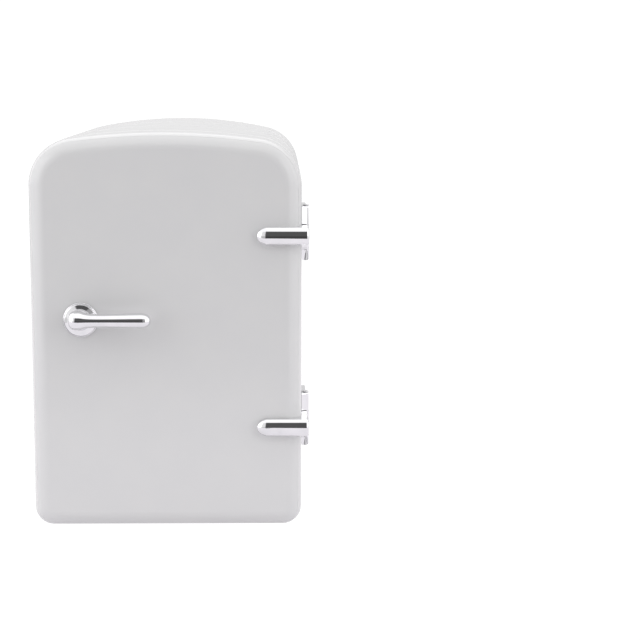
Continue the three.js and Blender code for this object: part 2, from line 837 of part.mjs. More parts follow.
function coolingGroup() {
  const group = new THREE.Group();
  const blockFront = cavityRear;
  const moduleFront = foamRear - 3.3;
  place(group, "cold_plate", coldPlate(), aluminium());
  plateScrewPlaces.forEach((screwPlace, i) => {
    place(group, `cold_plate_screw_${i + 1}`, plateScrew(), steel(), screwPlace);
  });
  place(group, "cold_block", blockWindow(0, blockFront, moduleFront - gap), aluminium());
  place(group, "peltier_module", blockWindow(0, moduleFront, foamRear + 0.5), material(0xe8e8e0, 0.6));
  place(group, "heat_sink", heatSinkSolid(), aluminium());
  place(group, "fan_frame", fanFrame(), blackPlastic());
  place(group, "fan_rotor", fanRotor(), blackPlastic(), [0, 0, coolingZ]);
  return group;
}

function powerGroup() {
  const group = new THREE.Group();
  const { left, right, low, high, front, thick } = board;
  const face = front + thick + gap;
  place(group, "power_board", block(left, right, front, front + thick, low, high), material(0x1f3326, 0.5));
  place(group, "transformer", block(-7, 7, face, face + 18, 222, 250), material(0xe0d9b8, 0.6));
  place(group, "board_heat_sink", boardHeatSink(), material(0x2a2a2c, 0.4, 1));
  place(group, "capacitor_1", boardCan(6, 16), blackPlastic(), [40, 0, 238]);
  place(group, "capacitor_2", boardCan(5, 13), blackPlastic(), [-15, 0, 243]);
  place(group, "varistor", boardCan(4.6, 9), material(0xf0f0ea, 0.6), [-24, 0, 227]);
  place(group, "ac_inlet", acInlet(), blackPlastic(), [0, sideY, acZ]);
  place(group, "dc_inlet", dcInlet(), blackPlastic(), [0, sideY, dcZ]);
  place(group, "switch_housing", switchHousing(), blackPlastic(), [0, sideY, switchZ]);
  place(group, "mode_rocker", modeRocker(), blackPlastic(), [rockerX, sideY, switchZ]);
  place(group, "ac_lead", acLead(), blackPlastic());
  place(group, "dc_lead", dcLead(), blackPlastic());
  place(group, "module_lead", moduleLead(), material(0xf2f2f0, 0.5));
  place(group, "fan_lead", fanLead(), material(0xb02a22, 0.5));
  return group;
}

// From the mains socket, round under the fan and up the +X side to the board
function acLead() {
  return lead(
    4, [79, sideY, acZ], [75, sideY, acZ + 0.5], [67, 223, 35], [56, 226, 45], [45, 227, 49],
    [37, 227, 55], [34, 225, 66], [39, 222, 84], [51, 221, 104], [57, 221, 132], [58, 221, 170], [57, 220, 200], [54, 218, 214], [49, 214.4, 224],
  );
}

// From the 12 V socket straight up the +X side to the board
function dcLead() {
  return lead(
    3, [79, sideY, dcZ], [76, sideY, dcZ + 0.5], [70, 220, 58], [66, 217, 76], [66, 214, 110],
    [67, 213, 160], [66, 213, 200], [62, 214, 226], [54, 215, 233], [47, 214, 231],
  );
}

// From the cooling module, out over the board and across it to the far end
function moduleLead() {
  return lead(
    3, [28, 197.4, 211], [46, 203, 212], [59, 214, 218], [61, 228, 228], [52, 236, 235], [34, 238, 239.5],
    [8, 238, 240.5], [-16, 237, 240], [-33, 230, 238], [-38, 217, 236], [-36, 213.6, 232],
  );
}

// From the fan's upper corner to the board's lower edge
function fanLead() {
  return lead(2.4, [-30, 231, 206.2], [-33, 229, 210], [-36, 222, 216], [-34, 216, 222], [-33, 213.4, 226]);
}

function hingeGroup(name, z) {
  const group = new THREE.Group();
  group.position.z = z - hinge.drop;
  place(group, `${name}_hinge_leaf`, hingeLeaf(), chrome());
  place(group, `${name}_hinge_pin`, hingePin(), steel(), [hingeX, hingeY, 0]);
  [-1, 1].forEach((side, i) => {
    const position = [width / 2, leafScrew.y, side * leafScrew.z];
    place(group, `${name}_leaf_screw_${i + 1}`, leafScrewSolid(), steel(), position);
  });
  return group;
}

function doorGroup() {
  const group = new THREE.Group();
  place(group, "door_outer_shell", doorOuterShell(), whiteShell());
  place(group, "door_insulation", doorInsulation(), foamMaterial());
  place(group, "door_inner_panel", doorInnerPanel(), whiteInner());
  place(group, "door_gasket", doorGasket(), material(0xd8d8d8, 0.7));
  place(group, "door_rack", doorRack(), material(0xf0f4f6, 0.25));
  place(group, "upper_hinge_strap", hingeStrap(), chrome(), [0, 0, hingeHeights.upper]);
  place(group, "lower_hinge_strap", hingeStrap(), chrome(), [0, 0, hingeHeights.lower]);
  const handle = new THREE.Group();
  handle.position.set(handleX, 0, handleZ);
  place(handle, "handle_rosette", handleRosette(), chrome());
  place(handle, "handle_lever", handleLever(), chrome());
  place(handle, "latch_hook", latchHook(), steel());
  group.add(handle);
  return group;
}

const fridge = new THREE.Group();
fridge.position.set(-hingeProud / 2, (handleProud - bodyRear) / 2, footHeight);
fridge.add(cabinetGroup(), coolingGroup(), powerGroup(), doorGroup());
for (const [name, z] of Object.entries(hingeHeights)) {
  fridge.add(hingeGroup(name, z));
}
place(fridge, "shelf", shelf(), whiteInner());

export default fridge;
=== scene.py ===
"""The looks of a small thermoelectric fridge: glossy shell, chrome fittings, cold space and machine bay.

Shapes are drawn in millimetres from the cabinet's own origin, which is the middle of its width, the door's
front face and its underside: +X to the hinges, +Y to the rear, +Z up. make() moves them into the frame.
"""

import json
import math

import bmesh
import bpy
from mathutils import Matrix, Vector


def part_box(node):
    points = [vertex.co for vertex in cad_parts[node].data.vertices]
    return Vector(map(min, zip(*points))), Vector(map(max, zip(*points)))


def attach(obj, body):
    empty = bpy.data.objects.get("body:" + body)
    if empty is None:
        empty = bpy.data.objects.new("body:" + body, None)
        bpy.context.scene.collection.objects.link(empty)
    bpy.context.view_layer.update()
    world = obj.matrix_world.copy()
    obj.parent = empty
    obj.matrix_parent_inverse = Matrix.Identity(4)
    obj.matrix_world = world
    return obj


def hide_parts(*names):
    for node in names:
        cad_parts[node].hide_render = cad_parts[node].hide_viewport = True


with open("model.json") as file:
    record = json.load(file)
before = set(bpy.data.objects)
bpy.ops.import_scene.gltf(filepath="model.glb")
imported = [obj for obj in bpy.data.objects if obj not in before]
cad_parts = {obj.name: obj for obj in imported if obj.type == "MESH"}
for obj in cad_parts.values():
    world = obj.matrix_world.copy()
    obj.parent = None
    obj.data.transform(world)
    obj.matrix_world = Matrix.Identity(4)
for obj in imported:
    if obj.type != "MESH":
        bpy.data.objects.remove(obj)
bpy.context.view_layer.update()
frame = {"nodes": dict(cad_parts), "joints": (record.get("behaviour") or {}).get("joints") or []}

MM = 0.001
shell_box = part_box("body_shell")
door_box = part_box("door_outer_shell")
ORIGIN = Vector(((shell_box[0].x + shell_box[1].x) / 2, door_box[0].y, shell_box[0].z))


def extent(node):
    """Lowest and highest corner of a CAD node, in millimetres from the cabinet's origin."""
    low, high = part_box(node)
    return (low - ORIGIN) / MM, (high - ORIGIN) / MM


def middle(node):
    low, high = extent(node)
    return (low + high) / 2


def across(axis, place):
    """The place's two coordinates across an axis, in the order in which pad() draws them."""
    return [getattr(place, other) for other in "xyz" if other != axis]


def joint_place(name):
    joint = next(j for j in frame["joints"] if j["name"] == name)
    return (Vector(joint["pos_m"]) - ORIGIN) / MM


# ---- Sizes ----

HALF = extent("body_shell")[1].x
HEIGHT = extent("body_shell")[1].z
BODY_FRONT = extent("body_shell")[0].y
BODY_REAR = extent("body_shell")[1].y
DOOR_REAR = extent("door_outer_shell")[1].y
WALL = 2.5
FRONT_CROWN = 9
REAR_CROWN = 13.5
TOP_RADIUS = 32
BOTTOM_RADIUS = 13
DOOR_ROUND = 11.5
GROOVES = (71, 133)  # behind the body's front edge
CAVITY = (-70, 70, 30, 235)
CAVITY_RADIUS = 12
CAVITY_REAR = 173
COOLING = joint_place("fan_spin")
HANDLE = joint_place("handle_turn")
HANDLE_BORE = 4.6
PIVOT = joint_place("door_hinge")

COVER_SCREWS = [f"rear_cover_screw_{i + 1}" for i in range(8)]
PLATE_SCREWS = ["cold_plate_screw_1", "cold_plate_screw_2"]
FEET = [f"foot_{i + 1}" for i in range(4)]
LEVELS = ("upper", "lower")

# The ends of a hinge strap's knuckle and the middle of its bar, above the middle of the leaf
HINGE_UNDER = -10.7
HINGE_OVER = 5.9
HINGE_BAR = 1.6
KNUCKLE = 2.75  # from the pin's axis to the knuckle's flat front
PIN_BORE = 1.4
SOCKET_SEAT = 83  # the floor of the sockets' mouths, from the middle of the cabinet

# Strengths of the studio's light
REAR_WALL = 0.75
REAR_TOP = 1.9
FRONT_TOP = 1.25
CEILING = 1.3
OPENING = 0.1
BELOW = 0.62  # of the walls, below the horizon


# ---- Solids: a solid is a list of points and a list of faces ----

def arc(a, b, radius, start, end, steps):
    """Points on an arc about (a, b), from one angle to another in degrees."""
    angles = [math.radians(start + (end - start) * i / steps) for i in range(steps + 1)]
    return [(a + radius * math.cos(t), b + radius * math.sin(t)) for t in angles]


def outline(crown, inset):
    """The cabinet's section: flat underside, upright sides, round corners and a crowned top."""
    half = HALF - inset
    bottom = max(BOTTOM_RADIUS - inset, 1)
    top = TOP_RADIUS - inset
    crown_full = (HALF ** 2 + crown ** 2) / (2 * crown)
    crown_radius = crown_full - inset
    crown_z = HEIGHT - crown_full
    top_x = half - top
    top_z = crown_z + math.sqrt((crown_radius - top) ** 2 - top_x ** 2)
    tangent = math.degrees(math.atan2(top_z - crown_z, top_x))
    return [
        *arc(half - bottom, inset + bottom, bottom, -90, 0, 8),
        *arc(top_x, top_z, top, 0, tangent, 14),
        *arc(0, crown_z, crown_radius, tangent, 180 - tangent, 30)[1:-1],
        *arc(-top_x, top_z, top, 180 - tangent, 180, 14),
        *arc(bottom - half, inset + bottom, bottom, 180, 270, 8),
    ]


def door_ring(y, inset):
    return [(x, y, z) for x, z in outline(FRONT_CROWN, inset)]


def body_ring(y, inset):
    share = (y - BODY_FRONT) / (BODY_REAR - BODY_FRONT)
    crown = FRONT_CROWN + (REAR_CROWN - FRONT_CROWN) * share
    return [(x, y, z) for x, z in outline(crown, inset)]


def loft(rings, looped=False):
    """A solid through rings of equal count; its ends are capped, or the last ring meets the first."""
    count = len(rings[0])
    points = [p for ring in rings for p in ring]
    order = list(range(len(rings)))
    pairs = list(zip(order, order[1:]))
    if looped:
        pairs.append((order[-1], 0))
    faces = []
    for near, far in pairs:
        for i in range(count):
            j = (i + 1) % count
            faces.append((near * count + i, near * count + j, far * count + j, far * count + i))
    if not looped:
        faces.append(tuple(range(count)))
        faces.append(tuple(range(len(points) - count, len(points))))
    return points, faces


def merge(*solids):
    points, faces = [], []
    for some_points, some_faces in solids:
        base = len(points)
        points.extend(some_points)
        faces.extend(tuple(base + i for i in face) for face in some_faces)
    return points, faces


def moved(solid, x=0, y=0, z=0, turn=None):
    """The solid turned by a matrix about the origin and then shifted."""
    points, faces = solid
    shift = Vector((x, y, z))
    turned_points = [turn @ Vector(p) for p in points] if turn else [Vector(p) for p in points]
    return [tuple(p + shift) for p in turned_points], faces


def rounded(left, right, low, high, radius, steps=6):
    """A rectangle with round corners, as a function of its inset."""
    def at(inset):
        r = max(radius - inset, 0.05)
        x0, x1, z0, z1 = left + inset + r, right - inset - r, low + inset + r, high - inset - r
        return [
            *arc(x1, z0, r, -90, 0, steps),
            *arc(x1, z1, r, 0, 90, steps),
            *arc(x0, z1, r, 90, 180, steps),
            *arc(x0, z0, r, 180, 270, steps),
        ]
    return at


def rectangle(a, b, half_a, half_b, radius, steps=6):
    """A rectangle with round corners about (a, b), as a function of its inset."""
    return rounded(a - half_a, a + half_a, b - half_b, b + half_b, radius, steps)


def node_face(axis, node, radius, grow=0, steps=6):
    """The rectangle of a CAD node seen along an axis and grown all round, as a function of its inset."""
    low, high = (across(axis, corner) for corner in extent(node))
    return rounded(low[0] - grow, high[0] + grow, low[1] - grow, high[1] + grow, radius, steps)


def circle(a, b, radius, steps=40):
    return lambda inset: arc(a, b, max(radius - inset, 0.01), 0, 360, steps)[:-1]


def rod(axis, a, b, radius, start, stop, sides=40):
    """A plain round rod along an axis, through (a, b)."""
    return pad(axis, circle(a, b, radius, sides), run(start, stop))


def rods(axis, nodes, radius, start, stop, sides=40):
    """A rod through the middle of each of the CAD nodes."""
    return [rod(axis, *across(axis, middle(node)), radius, start, stop, sides) for node in nodes]


def band(outer, inner, front, rear):
    """A flat band between two outlines of equal count in (x, z), from one y to another."""
    edges = ((front, outer), (rear, outer), (rear, inner), (front, inner))
    return loft([[(x, y, z) for x, z in edge] for y, edge in edges], looped=True)


def polygon(corners):
    """Any outline given anticlockwise, as a function of its inset."""
    def at(inset):
        result = []
        for i, (a, b) in enumerate(corners):
            before = Vector((a, b)) - Vector(corners[i - 1])
            after = Vector(corners[(i + 1) % len(corners)]) - Vector((a, b))
            before.normalize()
            after.normalize()
            inward = Vector((-before.y - after.y, before.x + after.x)).normalized()
            share = max(inward.dot(Vector((-before.y, before.x))), 0.3)
            result.append((a + inward.x * inset / share, b + inward.y * inset / share))
        return result
    return at


def run(start, stop, start_round=0.0, stop_round=0.0, steps=4):
    """Stations and insets of a straight run; a positive radius rounds an end, a negative one flares it."""
    def end(radius):
        if radius == 0:
            return [(0, 0)]
        angles = [math.radians(90 * i / steps) for i in range(steps + 1)]
        if radius > 0:
            return [(radius * (1 - math.cos(t)), radius * (1 - math.sin(t))) for t in angles]
        flare = -radius
        curve = [(flare - flare * math.cos(t), flare * math.sin(t) - flare) for t in angles]
        return [(-1, -flare), *curve]
    first = [(start + s, inset) for s, inset in end(start_round)]
    last = [(stop - s, inset) for s, inset in reversed(end(stop_round))]
    return first + last


def pad(axis, shape, stations):
    """An outline carried along an axis, drawn in (y, z) for x, in (x, z) for y and in (x, y) for z."""
    place = {
        "x": lambda a, b, s: (s, a, b),
        "y": lambda a, b, s: (a, s, b),
        "z": lambda a, b, s: (a, b, s),
    }[axis]
    return loft([[place(a, b, s) for a, b in shape(inset)] for s, inset in stations])


def turned(axis, profile, centre=(0, 0, 0), sides=48, looped=False):
    """A profile of (radius, station) pairs turned about an axis."""
    rings = []
    for radius, station in profile:
        ring = []
        for a, b in arc(0, 0, radius, 0, 360, sides)[:-1]:
            point = {"x": (station, a, b), "y": (a, station, b), "z": (a, b, station)}[axis]
            ring.append(tuple(p + c for p, c in zip(point, centre)))
        rings.append(ring)
    return loft(rings, looped)


def smooth_path(points, steps=6):
    """A Catmull-Rom curve through the points."""
    padded = [points[0], *points, points[-1]]
    path = []
    for i in range(len(points) - 1):
        p0, p1, p2, p3 = (Vector(p) for p in padded[i:i + 4])
        for k in range(steps):
            t = k / steps
            path.append(
                0.5 * (2 * p1 + (p2 - p0) * t + (2 * p0 - 5 * p1 + 4 * p2 - p3) * t ** 2
                       + (3 * p1 - p0 - 3 * p2 + p3) * t ** 3)
            )
    return [*path, Vector(points[-1])]


def frames(path):
    """A tangent and two cross directions at each point of a path, with no twist."""
    result = []
    side = None
    for i, point in enumerate(path):
        tangent = (path[min(i + 1, len(path) - 1)] - path[max(i - 1, 0)]).normalized()
        if side is None:
            side = tangent.orthogonal().normalized()
        side = (side - tangent * side.dot(tangent)).normalized()
        result.append((point, side, tangent.cross(side)))
    return result


def tube(path, radius, sides=16):
    """A round tube along a path."""
    section = arc(0, 0, radius, 0, 360, sides)[:-1]
    rings = [[tuple(point + side * a + up * b) for a, b in section] for point, side, up in frames(path)]
    return loft(rings)


# ---- Objects ----

def make(name, solid):
    """A mesh object in the frame, welded and with its faces pointing out."""
    points, faces = solid
    mesh = bpy.data.meshes.new(name)
    mesh.from_pydata([ORIGIN + Vector(p) * MM for p in points], [], faces)
    work = bmesh.new()
    work.from_mesh(mesh)
    bmesh.ops.remove_doubles(work, verts=work.verts, dist=0.001 * MM)
    bmesh.ops.recalc_face_normals(work, faces=work.faces)
    work.to_mesh(mesh)
    work.free()
    obj = bpy.data.objects.new(name, mesh)
    bpy.context.scene.collection.objects.link(obj)
    return obj


def taken(obj):
    """The object's solid, for moving and copying; the object itself is removed."""
    points = [tuple((v.co - ORIGIN) / MM) for v in obj.data.vertices]
    faces = [tuple(f.vertices) for f in obj.data.polygons]
    bpy.data.objects.remove(obj)
    return points, faces


def settle(obj):
    """Applies the object's modifiers to its mesh."""
    bpy.context.view_layer.update()
    graph = bpy.context.evaluated_depsgraph_get()
    mesh = bpy.data.meshes.new_from_object(obj.evaluated_get(graph))
    obj.modifiers.clear()
    obj.data = mesh
    return obj


def combine(obj, solid, operation):
    tool = make("tool", solid)
    modifier = obj.modifiers.new("combine", "BOOLEAN")
    modifier.operation = operation
    modifier.solver = "MANIFOLD"
    modifier.object = tool
    settle(obj)
    bpy.data.objects.remove(tool)
    return obj


def cut(obj, *solids):
    for solid in solids:
        combine(obj, solid, "DIFFERENCE")
    return obj


def join(obj, *solids):
    for solid in solids:
        combine(obj, solid, "UNION")
    return obj


def finish(obj, body, slot, *nodes, sharp=40, material=None):
    """Shades a piece, gives it its slot's material or another, says what it rides on and hides the CAD
    parts it stands for.
    """
    obj.data.materials.clear()
    obj.data.materials.append(material or MATERIALS[slot])
    obj.data.shade_smooth()
    obj.data.set_sharp_from_angle(angle=math.radians(sharp))
    normals = obj.modifiers.new("normals", "WEIGHTED_NORMAL")
    normals.keep_sharp = True
    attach(obj, body)
    if nodes:
        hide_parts(*nodes)
    return obj


# ---- Materials ----

class Look:
    """A Principled material whose colour, roughness and surface vary with the object's own coordinates."""

    def __init__(self, name, color, roughness, metallic=0.0, **inputs):
        self.material = bpy.data.materials.new(name)
        self.material.use_nodes = True
        self.nodes = self.material.node_tree.nodes
        self.links = self.material.node_tree.links
        self.shader = self.nodes["Principled BSDF"]
        self.shader.inputs["Base Color"].default_value = (*color, 1)
        self.shader.inputs["Roughness"].default_value = roughness
        self.shader.inputs["Metallic"].default_value = metallic
        for key, value in inputs.items():
            self.shader.inputs[key.replace("_", " ")].default_value = value
        self.place = self.nodes.new("ShaderNodeTexCoord").outputs["Object"]
        self.last_bump = None

    def pattern(self, size, stretch=(1, 1, 1), detail=3.0, cells=False):
        """Noise or cells of about that size in millimetres, longer where stretch is above 1."""
        mapping = self.nodes.new("ShaderNodeMapping")
        mapping.inputs["Scale"].default_value = [1 / (size * MM * s) for s in stretch]
        self.links.new(self.place, mapping.inputs["Vector"])
        texture = self.nodes.new("ShaderNodeTexVoronoi" if cells else "ShaderNodeTexNoise")
        texture.inputs["Scale"].default_value = 1
        texture.inputs["Detail"].default_value = detail
        self.links.new(mapping.outputs["Vector"], texture.inputs["Vector"])
        return texture.outputs["Distance" if cells else "Fac"]

    def spread(self, value, low, high):
        """The value from 0.3 to 0.7, where most of a pattern lies, turned into low to high."""
        node = self.nodes.new("ShaderNodeMapRange")
        for key, number in (("From Min", 0.3), ("From Max", 0.7), ("To Min", low), ("To Max", high)):
            node.inputs[key].default_value = number
        self.links.new(value, node.inputs["Value"])
        return node.outputs["Result"]

    def tint(self, first, second, *pattern, **kind):
        """A pattern in the base colour, from the first colour to the second."""
        mix = self.nodes.new("ShaderNodeMix")
        mix.data_type = "RGBA"
        self.links.new(self.spread(self.pattern(*pattern, **kind), 0, 1), mix.inputs["Factor"])
        colours = [s for s in mix.inputs if s.name in ("A", "B") and s.type == "RGBA"]
        colours[0].default_value = (*first, 1)
        colours[1].default_value = (*second, 1)
        result = next(s for s in mix.outputs if s.type == "RGBA")
        self.links.new(result, self.shader.inputs["Base Color"])

    def rough(self, low, high, *pattern, **kind):
        """A pattern in the roughness."""
        value = self.spread(self.pattern(*pattern, **kind), low, high)
        self.links.new(value, self.shader.inputs["Roughness"])

    def bump(self, depth, *pattern, **kind):
        """A pattern as relief of that depth in millimetres, on top of any bump before it."""
        node = self.nodes.new("ShaderNodeBump")
        node.inputs["Distance"].default_value = depth * MM
        node.inputs["Strength"].default_value = 1
        self.links.new(self.pattern(*pattern, **kind), node.inputs["Height"])
        if self.last_bump:
            self.links.new(self.last_bump, node.inputs["Normal"])
        self.last_bump = node.outputs["Normal"]
        self.links.new(self.last_bump, self.shader.inputs["Normal"])
        return self


def shell_white():
    """Glossy moulded ABS with a faint orange peel and a slight cloudiness."""
    look = Look("shell_white", (0.605, 0.605, 0.608), 0.2, IOR=1.53)
    look.tint((0.6, 0.601, 0.605), (0.612, 0.612, 0.612), 28)
    look.rough(0.17, 0.23, 9, detail=5)
    look.bump(0.003, 2.6, detail=1)
    return look.bump(0.008, 14, detail=1).material


def inner_white():
    """Satin vacuum-formed liner plastic."""
    look = Look("inner_white", (0.78, 0.8, 0.82), 0.35, IOR=1.5)
    look.tint((0.765, 0.785, 0.805), (0.79, 0.81, 0.83), 20)
    look.rough(0.3, 0.42, 6, detail=5)
    return look.bump(0.008, 0.9, detail=2).material


def grained(name, dark, light, low, high, grain=0.35, depth=0.012, **inputs):
    """Moulded plastic or rubber with a fine grain."""
    look = Look(name, dark, low, **inputs)
    look.tint(dark, light, 7, detail=5)
    look.rough(low, high, 3, detail=4)
    return look.bump(depth, grain, detail=2).material


def foam_beads():
    """Moulded polystyrene beads."""
    look = Look("foam_beads", (0.86, 0.85, 0.8), 0.9)
    look.tint((0.82, 0.81, 0.76), (0.88, 0.87, 0.83), 8)
    return look.bump(0.25, 3.2, detail=0, cells=True).material


def chrome():
    """Plated metal, polished, with hairline scratches and faint wiping haze."""
    look = Look("chrome", (0.8, 0.795, 0.815), 0.05, metallic=1.0)
    look.tint((0.77, 0.77, 0.785), (0.83, 0.825, 0.84), 11, detail=4)
    look.rough(0.03, 0.075, 4, detail=6)
    return look.bump(0.0006, 0.5, (14, 1, 1), 2).material


def metal(name, dark, light, low, high, grain, stretch, depth):
    """Brushed, cast or turned metal."""
    look = Look(name, dark, low, metallic=1.0)
    look.tint(dark, light, 6, detail=5)
    look.rough(low, high, grain, stretch, 4)
    return look.bump(depth, grain, stretch, 3).material


def label_paper():
    look = Look("label_paper", (0.8, 0.8, 0.8), 0.45)
    look.tint((0.78, 0.78, 0.78), (0.83, 0.83, 0.83), 5, detail=5)
    look.rough(0.38, 0.5, 1.5, detail=4)
    return look.bump(0.004, 0.3, detail=3).material


def circuit_board():
    """Green solder mask over copper tracks."""
    look = Look("circuit_board", (0.02, 0.09, 0.045), 0.3, IOR=1.5)
    look.tint((0.018, 0.075, 0.04), (0.035, 0.13, 0.06), 5, (1, 1, 2.6), 0, cells=True)
    look.rough(0.25, 0.4, 3)
    return look.bump(0.04, 5, (1, 1, 2.6), 0, cells=True).material


def winding_tape():
    """Yellowed tape wound round the transformer."""
    look = Look("winding_tape", (0.72, 0.66, 0.42), 0.4)
    look.tint((0.68, 0.61, 0.37), (0.78, 0.73, 0.5), 3, (1, 1, 0.3), 4)
    look.rough(0.3, 0.5, 2, detail=4)
    return look.bump(0.06, 1.2, (8, 8, 1), 2).material


def rack_clear():
    """Clear polystyrene, faintly blue, with fine scuffs."""
    look = Look("rack_clear", (0.9, 0.95, 0.97), 0.08, IOR=1.5, Transmission_Weight=0.75)
    look.tint((0.88, 0.935, 0.96), (0.93, 0.965, 0.98), 15)
    look.rough(0.06, 0.2, 1.5, (6, 1, 1), 5)
    return look.bump(0.01, 6, detail=1).material


MATERIALS = {
    "shell_white": shell_white(),
    "inner_white": inner_white(),
    "grey_plastic": grained("grey_plastic", (0.52, 0.52, 0.52), (0.58, 0.58, 0.58), 0.5, 0.65),
    "black_plastic": grained("black_plastic", (0.016, 0.016, 0.017), (0.03, 0.03, 0.032), 0.35, 0.5),
    "foam": foam_beads(),
    "chrome": chrome(),
    "aluminium": metal(
        "aluminium", (0.7, 0.71, 0.72), (0.78, 0.79, 0.8), 0.26, 0.42, 0.4, (1, 1, 25), 0.006,
    ),
    "steel": metal("steel", (0.5, 0.5, 0.51), (0.62, 0.62, 0.63), 0.2, 0.38, 0.5, (3, 3, 1), 0.005),
    "rubber_black": grained("rubber_black", (0.014, 0.014, 0.014), (0.03, 0.03, 0.03), 0.7, 0.9, 0.5, 0.03),
    "gasket_rubber": grained(
        "gasket_rubber", (0.56, 0.565, 0.57), (0.61, 0.61, 0.615), 0.4, 0.55, 0.4, 0.006,
    ),
    "label_paper": label_paper(),
    "circuit_board": circuit_board(),
    "transformer_tape": winding_tape(),
    "ceramic_white": grained(
        "ceramic_white", (0.76, 0.755, 0.71), (0.82, 0.815, 0.78), 0.4, 0.55, 0.5, 0.01,
    ),
    "lead_black": grained("lead_black", (0.012, 0.012, 0.013), (0.025, 0.025, 0.026), 0.35, 0.5, 0.5, 0.01),
    "lead_white": grained("lead_white", (0.74, 0.74, 0.72), (0.8, 0.8, 0.79), 0.32, 0.45, 0.5, 0.01),
    "lead_red": grained("lead_red", (0.42, 0.02, 0.015), (0.52, 0.04, 0.03), 0.32, 0.45, 0.5, 0.01),
    "rack_clear": rack_clear(),
}
PRINT = grained("label_print", (0.05, 0.05, 0.055), (0.09, 0.09, 0.095), 0.5, 0.6)


def piece(name, solid, body, slot, *nodes, sharp=40):
    """A finished piece from one solid."""
    return finish(make(name, solid), body, slot, *nodes, sharp=sharp)


# ---- Camera and studio ----

def camera():
    data = bpy.data.cameras.new("camera")
    data.lens = 95.36
    data.sensor_width = 36
    obj = bpy.data.objects.new("camera", data)
    bpy.context.scene.collection.objects.link(obj)
    yaw, pitch, roll = -0.0253, -0.15802, 0.00405
    place = Matrix.Translation((0.07265, -1.24817, 0.33072))
    turn = Matrix.Rotation(yaw, 4, "Z") @ Matrix.Rotation(math.pi / 2 + pitch, 4, "X")
    obj.matrix_world = place @ turn @ Matrix.Rotation(roll, 4, "Z")
    bpy.context.scene.camera = obj


def floor():
    """A pale table top; the camera sees it as plain white."""
    left, right, front, rear = -0.9, 0.9, -0.6, 1.3
    corners = [(left, front, 0), (right, front, 0), (right, rear, 0), (left, rear, 0)]
    mesh = bpy.data.meshes.new("floor")
    mesh.from_pydata(corners, [], [(0, 1, 2, 3)])
    obj = bpy.data.objects.new("floor", mesh)
    bpy.context.scene.collection.objects.link(obj)
    look = Look("floor", (0.3, 0.29, 0.31), 0.7, Emission_Color=(1, 0.98, 1, 1), Emission_Strength=0.54)
    look.tint((0.28, 0.27, 0.29), (0.32, 0.31, 0.33), 600)
    white = look.nodes.new("ShaderNodeEmission")
    white.inputs["Strength"].default_value = 1.1
    seen_by_camera(look.material, "Material Output", look.shader, white)
    mesh.materials.append(look.material)


def seen_by_camera(owner, output, usual, white):
    """Plain white for what the camera sees directly, and the usual shader for light and reflections."""
    nodes, links = owner.node_tree.nodes, owner.node_tree.links
    blend = nodes.new("ShaderNodeMixShader")
    links.new(nodes.new("ShaderNodeLightPath").outputs["Is Camera Ray"], blend.inputs["Fac"])
    links.new(usual.outputs[0], blend.inputs[1])
    links.new(white.outputs[0], blend.inputs[2])
    links.new(blend.outputs["Shader"], nodes[output].inputs["Surface"])


def studio():
    """A white tent round the fridge, brightest at its sides and dark where it opens in front."""
    scene = bpy.context.scene
    scene.view_settings.view_transform = "Standard"
    world = bpy.data.worlds.new("studio")
    scene.world = world
    world.use_nodes = True
    nodes, links = world.node_tree.nodes, world.node_tree.links

    def maths(operation, *values):
        node = nodes.new("ShaderNodeMath")
        node.operation = operation
        for value, socket in zip(values, node.inputs):
            if isinstance(value, (int, float)):
                socket.default_value = value
            else:
                links.new(value, socket)
        return node.outputs[0]

    def blend(first, second, share):
        rest = maths("SUBTRACT", 1, share)
        return maths("ADD", maths("MULTIPLY", first, rest), maths("MULTIPLY", second, share))

    def by_angle(angle, stops):
        """The strength at an angle, straight between (degrees, strength) stops."""
        brightest = 4
        share = nodes.new("ShaderNodeMapRange")
        share.inputs["From Min"].default_value = -math.pi
        share.inputs["From Max"].default_value = math.pi
        links.new(angle, share.inputs["Value"])
        ramp = nodes.new("ShaderNodeValToRGB")
        elements = ramp.color_ramp.elements
        elements.remove(elements[1])
        for i, (degrees, strength) in enumerate(stops):
            position = (degrees + 180) / 360
            element = elements[0] if i == 0 else elements.new(position)
            element.position = position
            element.color = (*[strength / brightest] * 3, 1)
        links.new(share.outputs["Result"], ramp.inputs["Fac"])
        return maths("MULTIPLY", ramp.outputs["Color"], brightest)

    split = nodes.new("ShaderNodeSeparateXYZ")
    links.new(nodes.new("ShaderNodeTexCoord").outputs["Generated"], split.inputs["Vector"])
    azimuth = maths("ARCTAN2", split.outputs["X"], maths("MULTIPLY", split.outputs["Y"], -1))
    elevation = maths("ARCSINE", split.outputs["Z"])
    left = [(-145, REAR_WALL), (-120, 1.8), (-80, 1.9), (-70, 2.6), (-45, 2.6), (-35, 1.0), (-18, 0.85)]
    right = [(12, 0.4), (31, 0.4), (35, 2.1), (54, 2.1), (58, 1.8), (100, 1.8), (125, REAR_WALL)]
    walls = by_angle(azimuth, left + [(-16, OPENING), (10, OPENING)] + right)
    walls = maths("MULTIPLY", walls, by_angle(elevation, [(-6, BELOW), (0, 1)]))
    top = by_angle(azimuth, [(-130, REAR_TOP), (-80, FRONT_TOP), (80, FRONT_TOP), (130, REAR_TOP)])
    strength = blend(walls, top, by_angle(elevation, [(33, 0), (37, 1)]))
    strength = blend(strength, CEILING, by_angle(elevation, [(66, 0), (72, 1)]))
    lighting = nodes["Background"]
    lighting.inputs["Color"].default_value = (1, 0.995, 1, 1)
    links.new(strength, lighting.inputs["Strength"])
    backdrop = nodes.new("ShaderNodeBackground")
    backdrop.inputs["Color"].default_value = (1, 1, 1, 1)
    backdrop.inputs["Strength"].default_value = 1.1
    seen_by_camera(world, "World Output", lighting, backdrop)


# ---- Cabinet ----

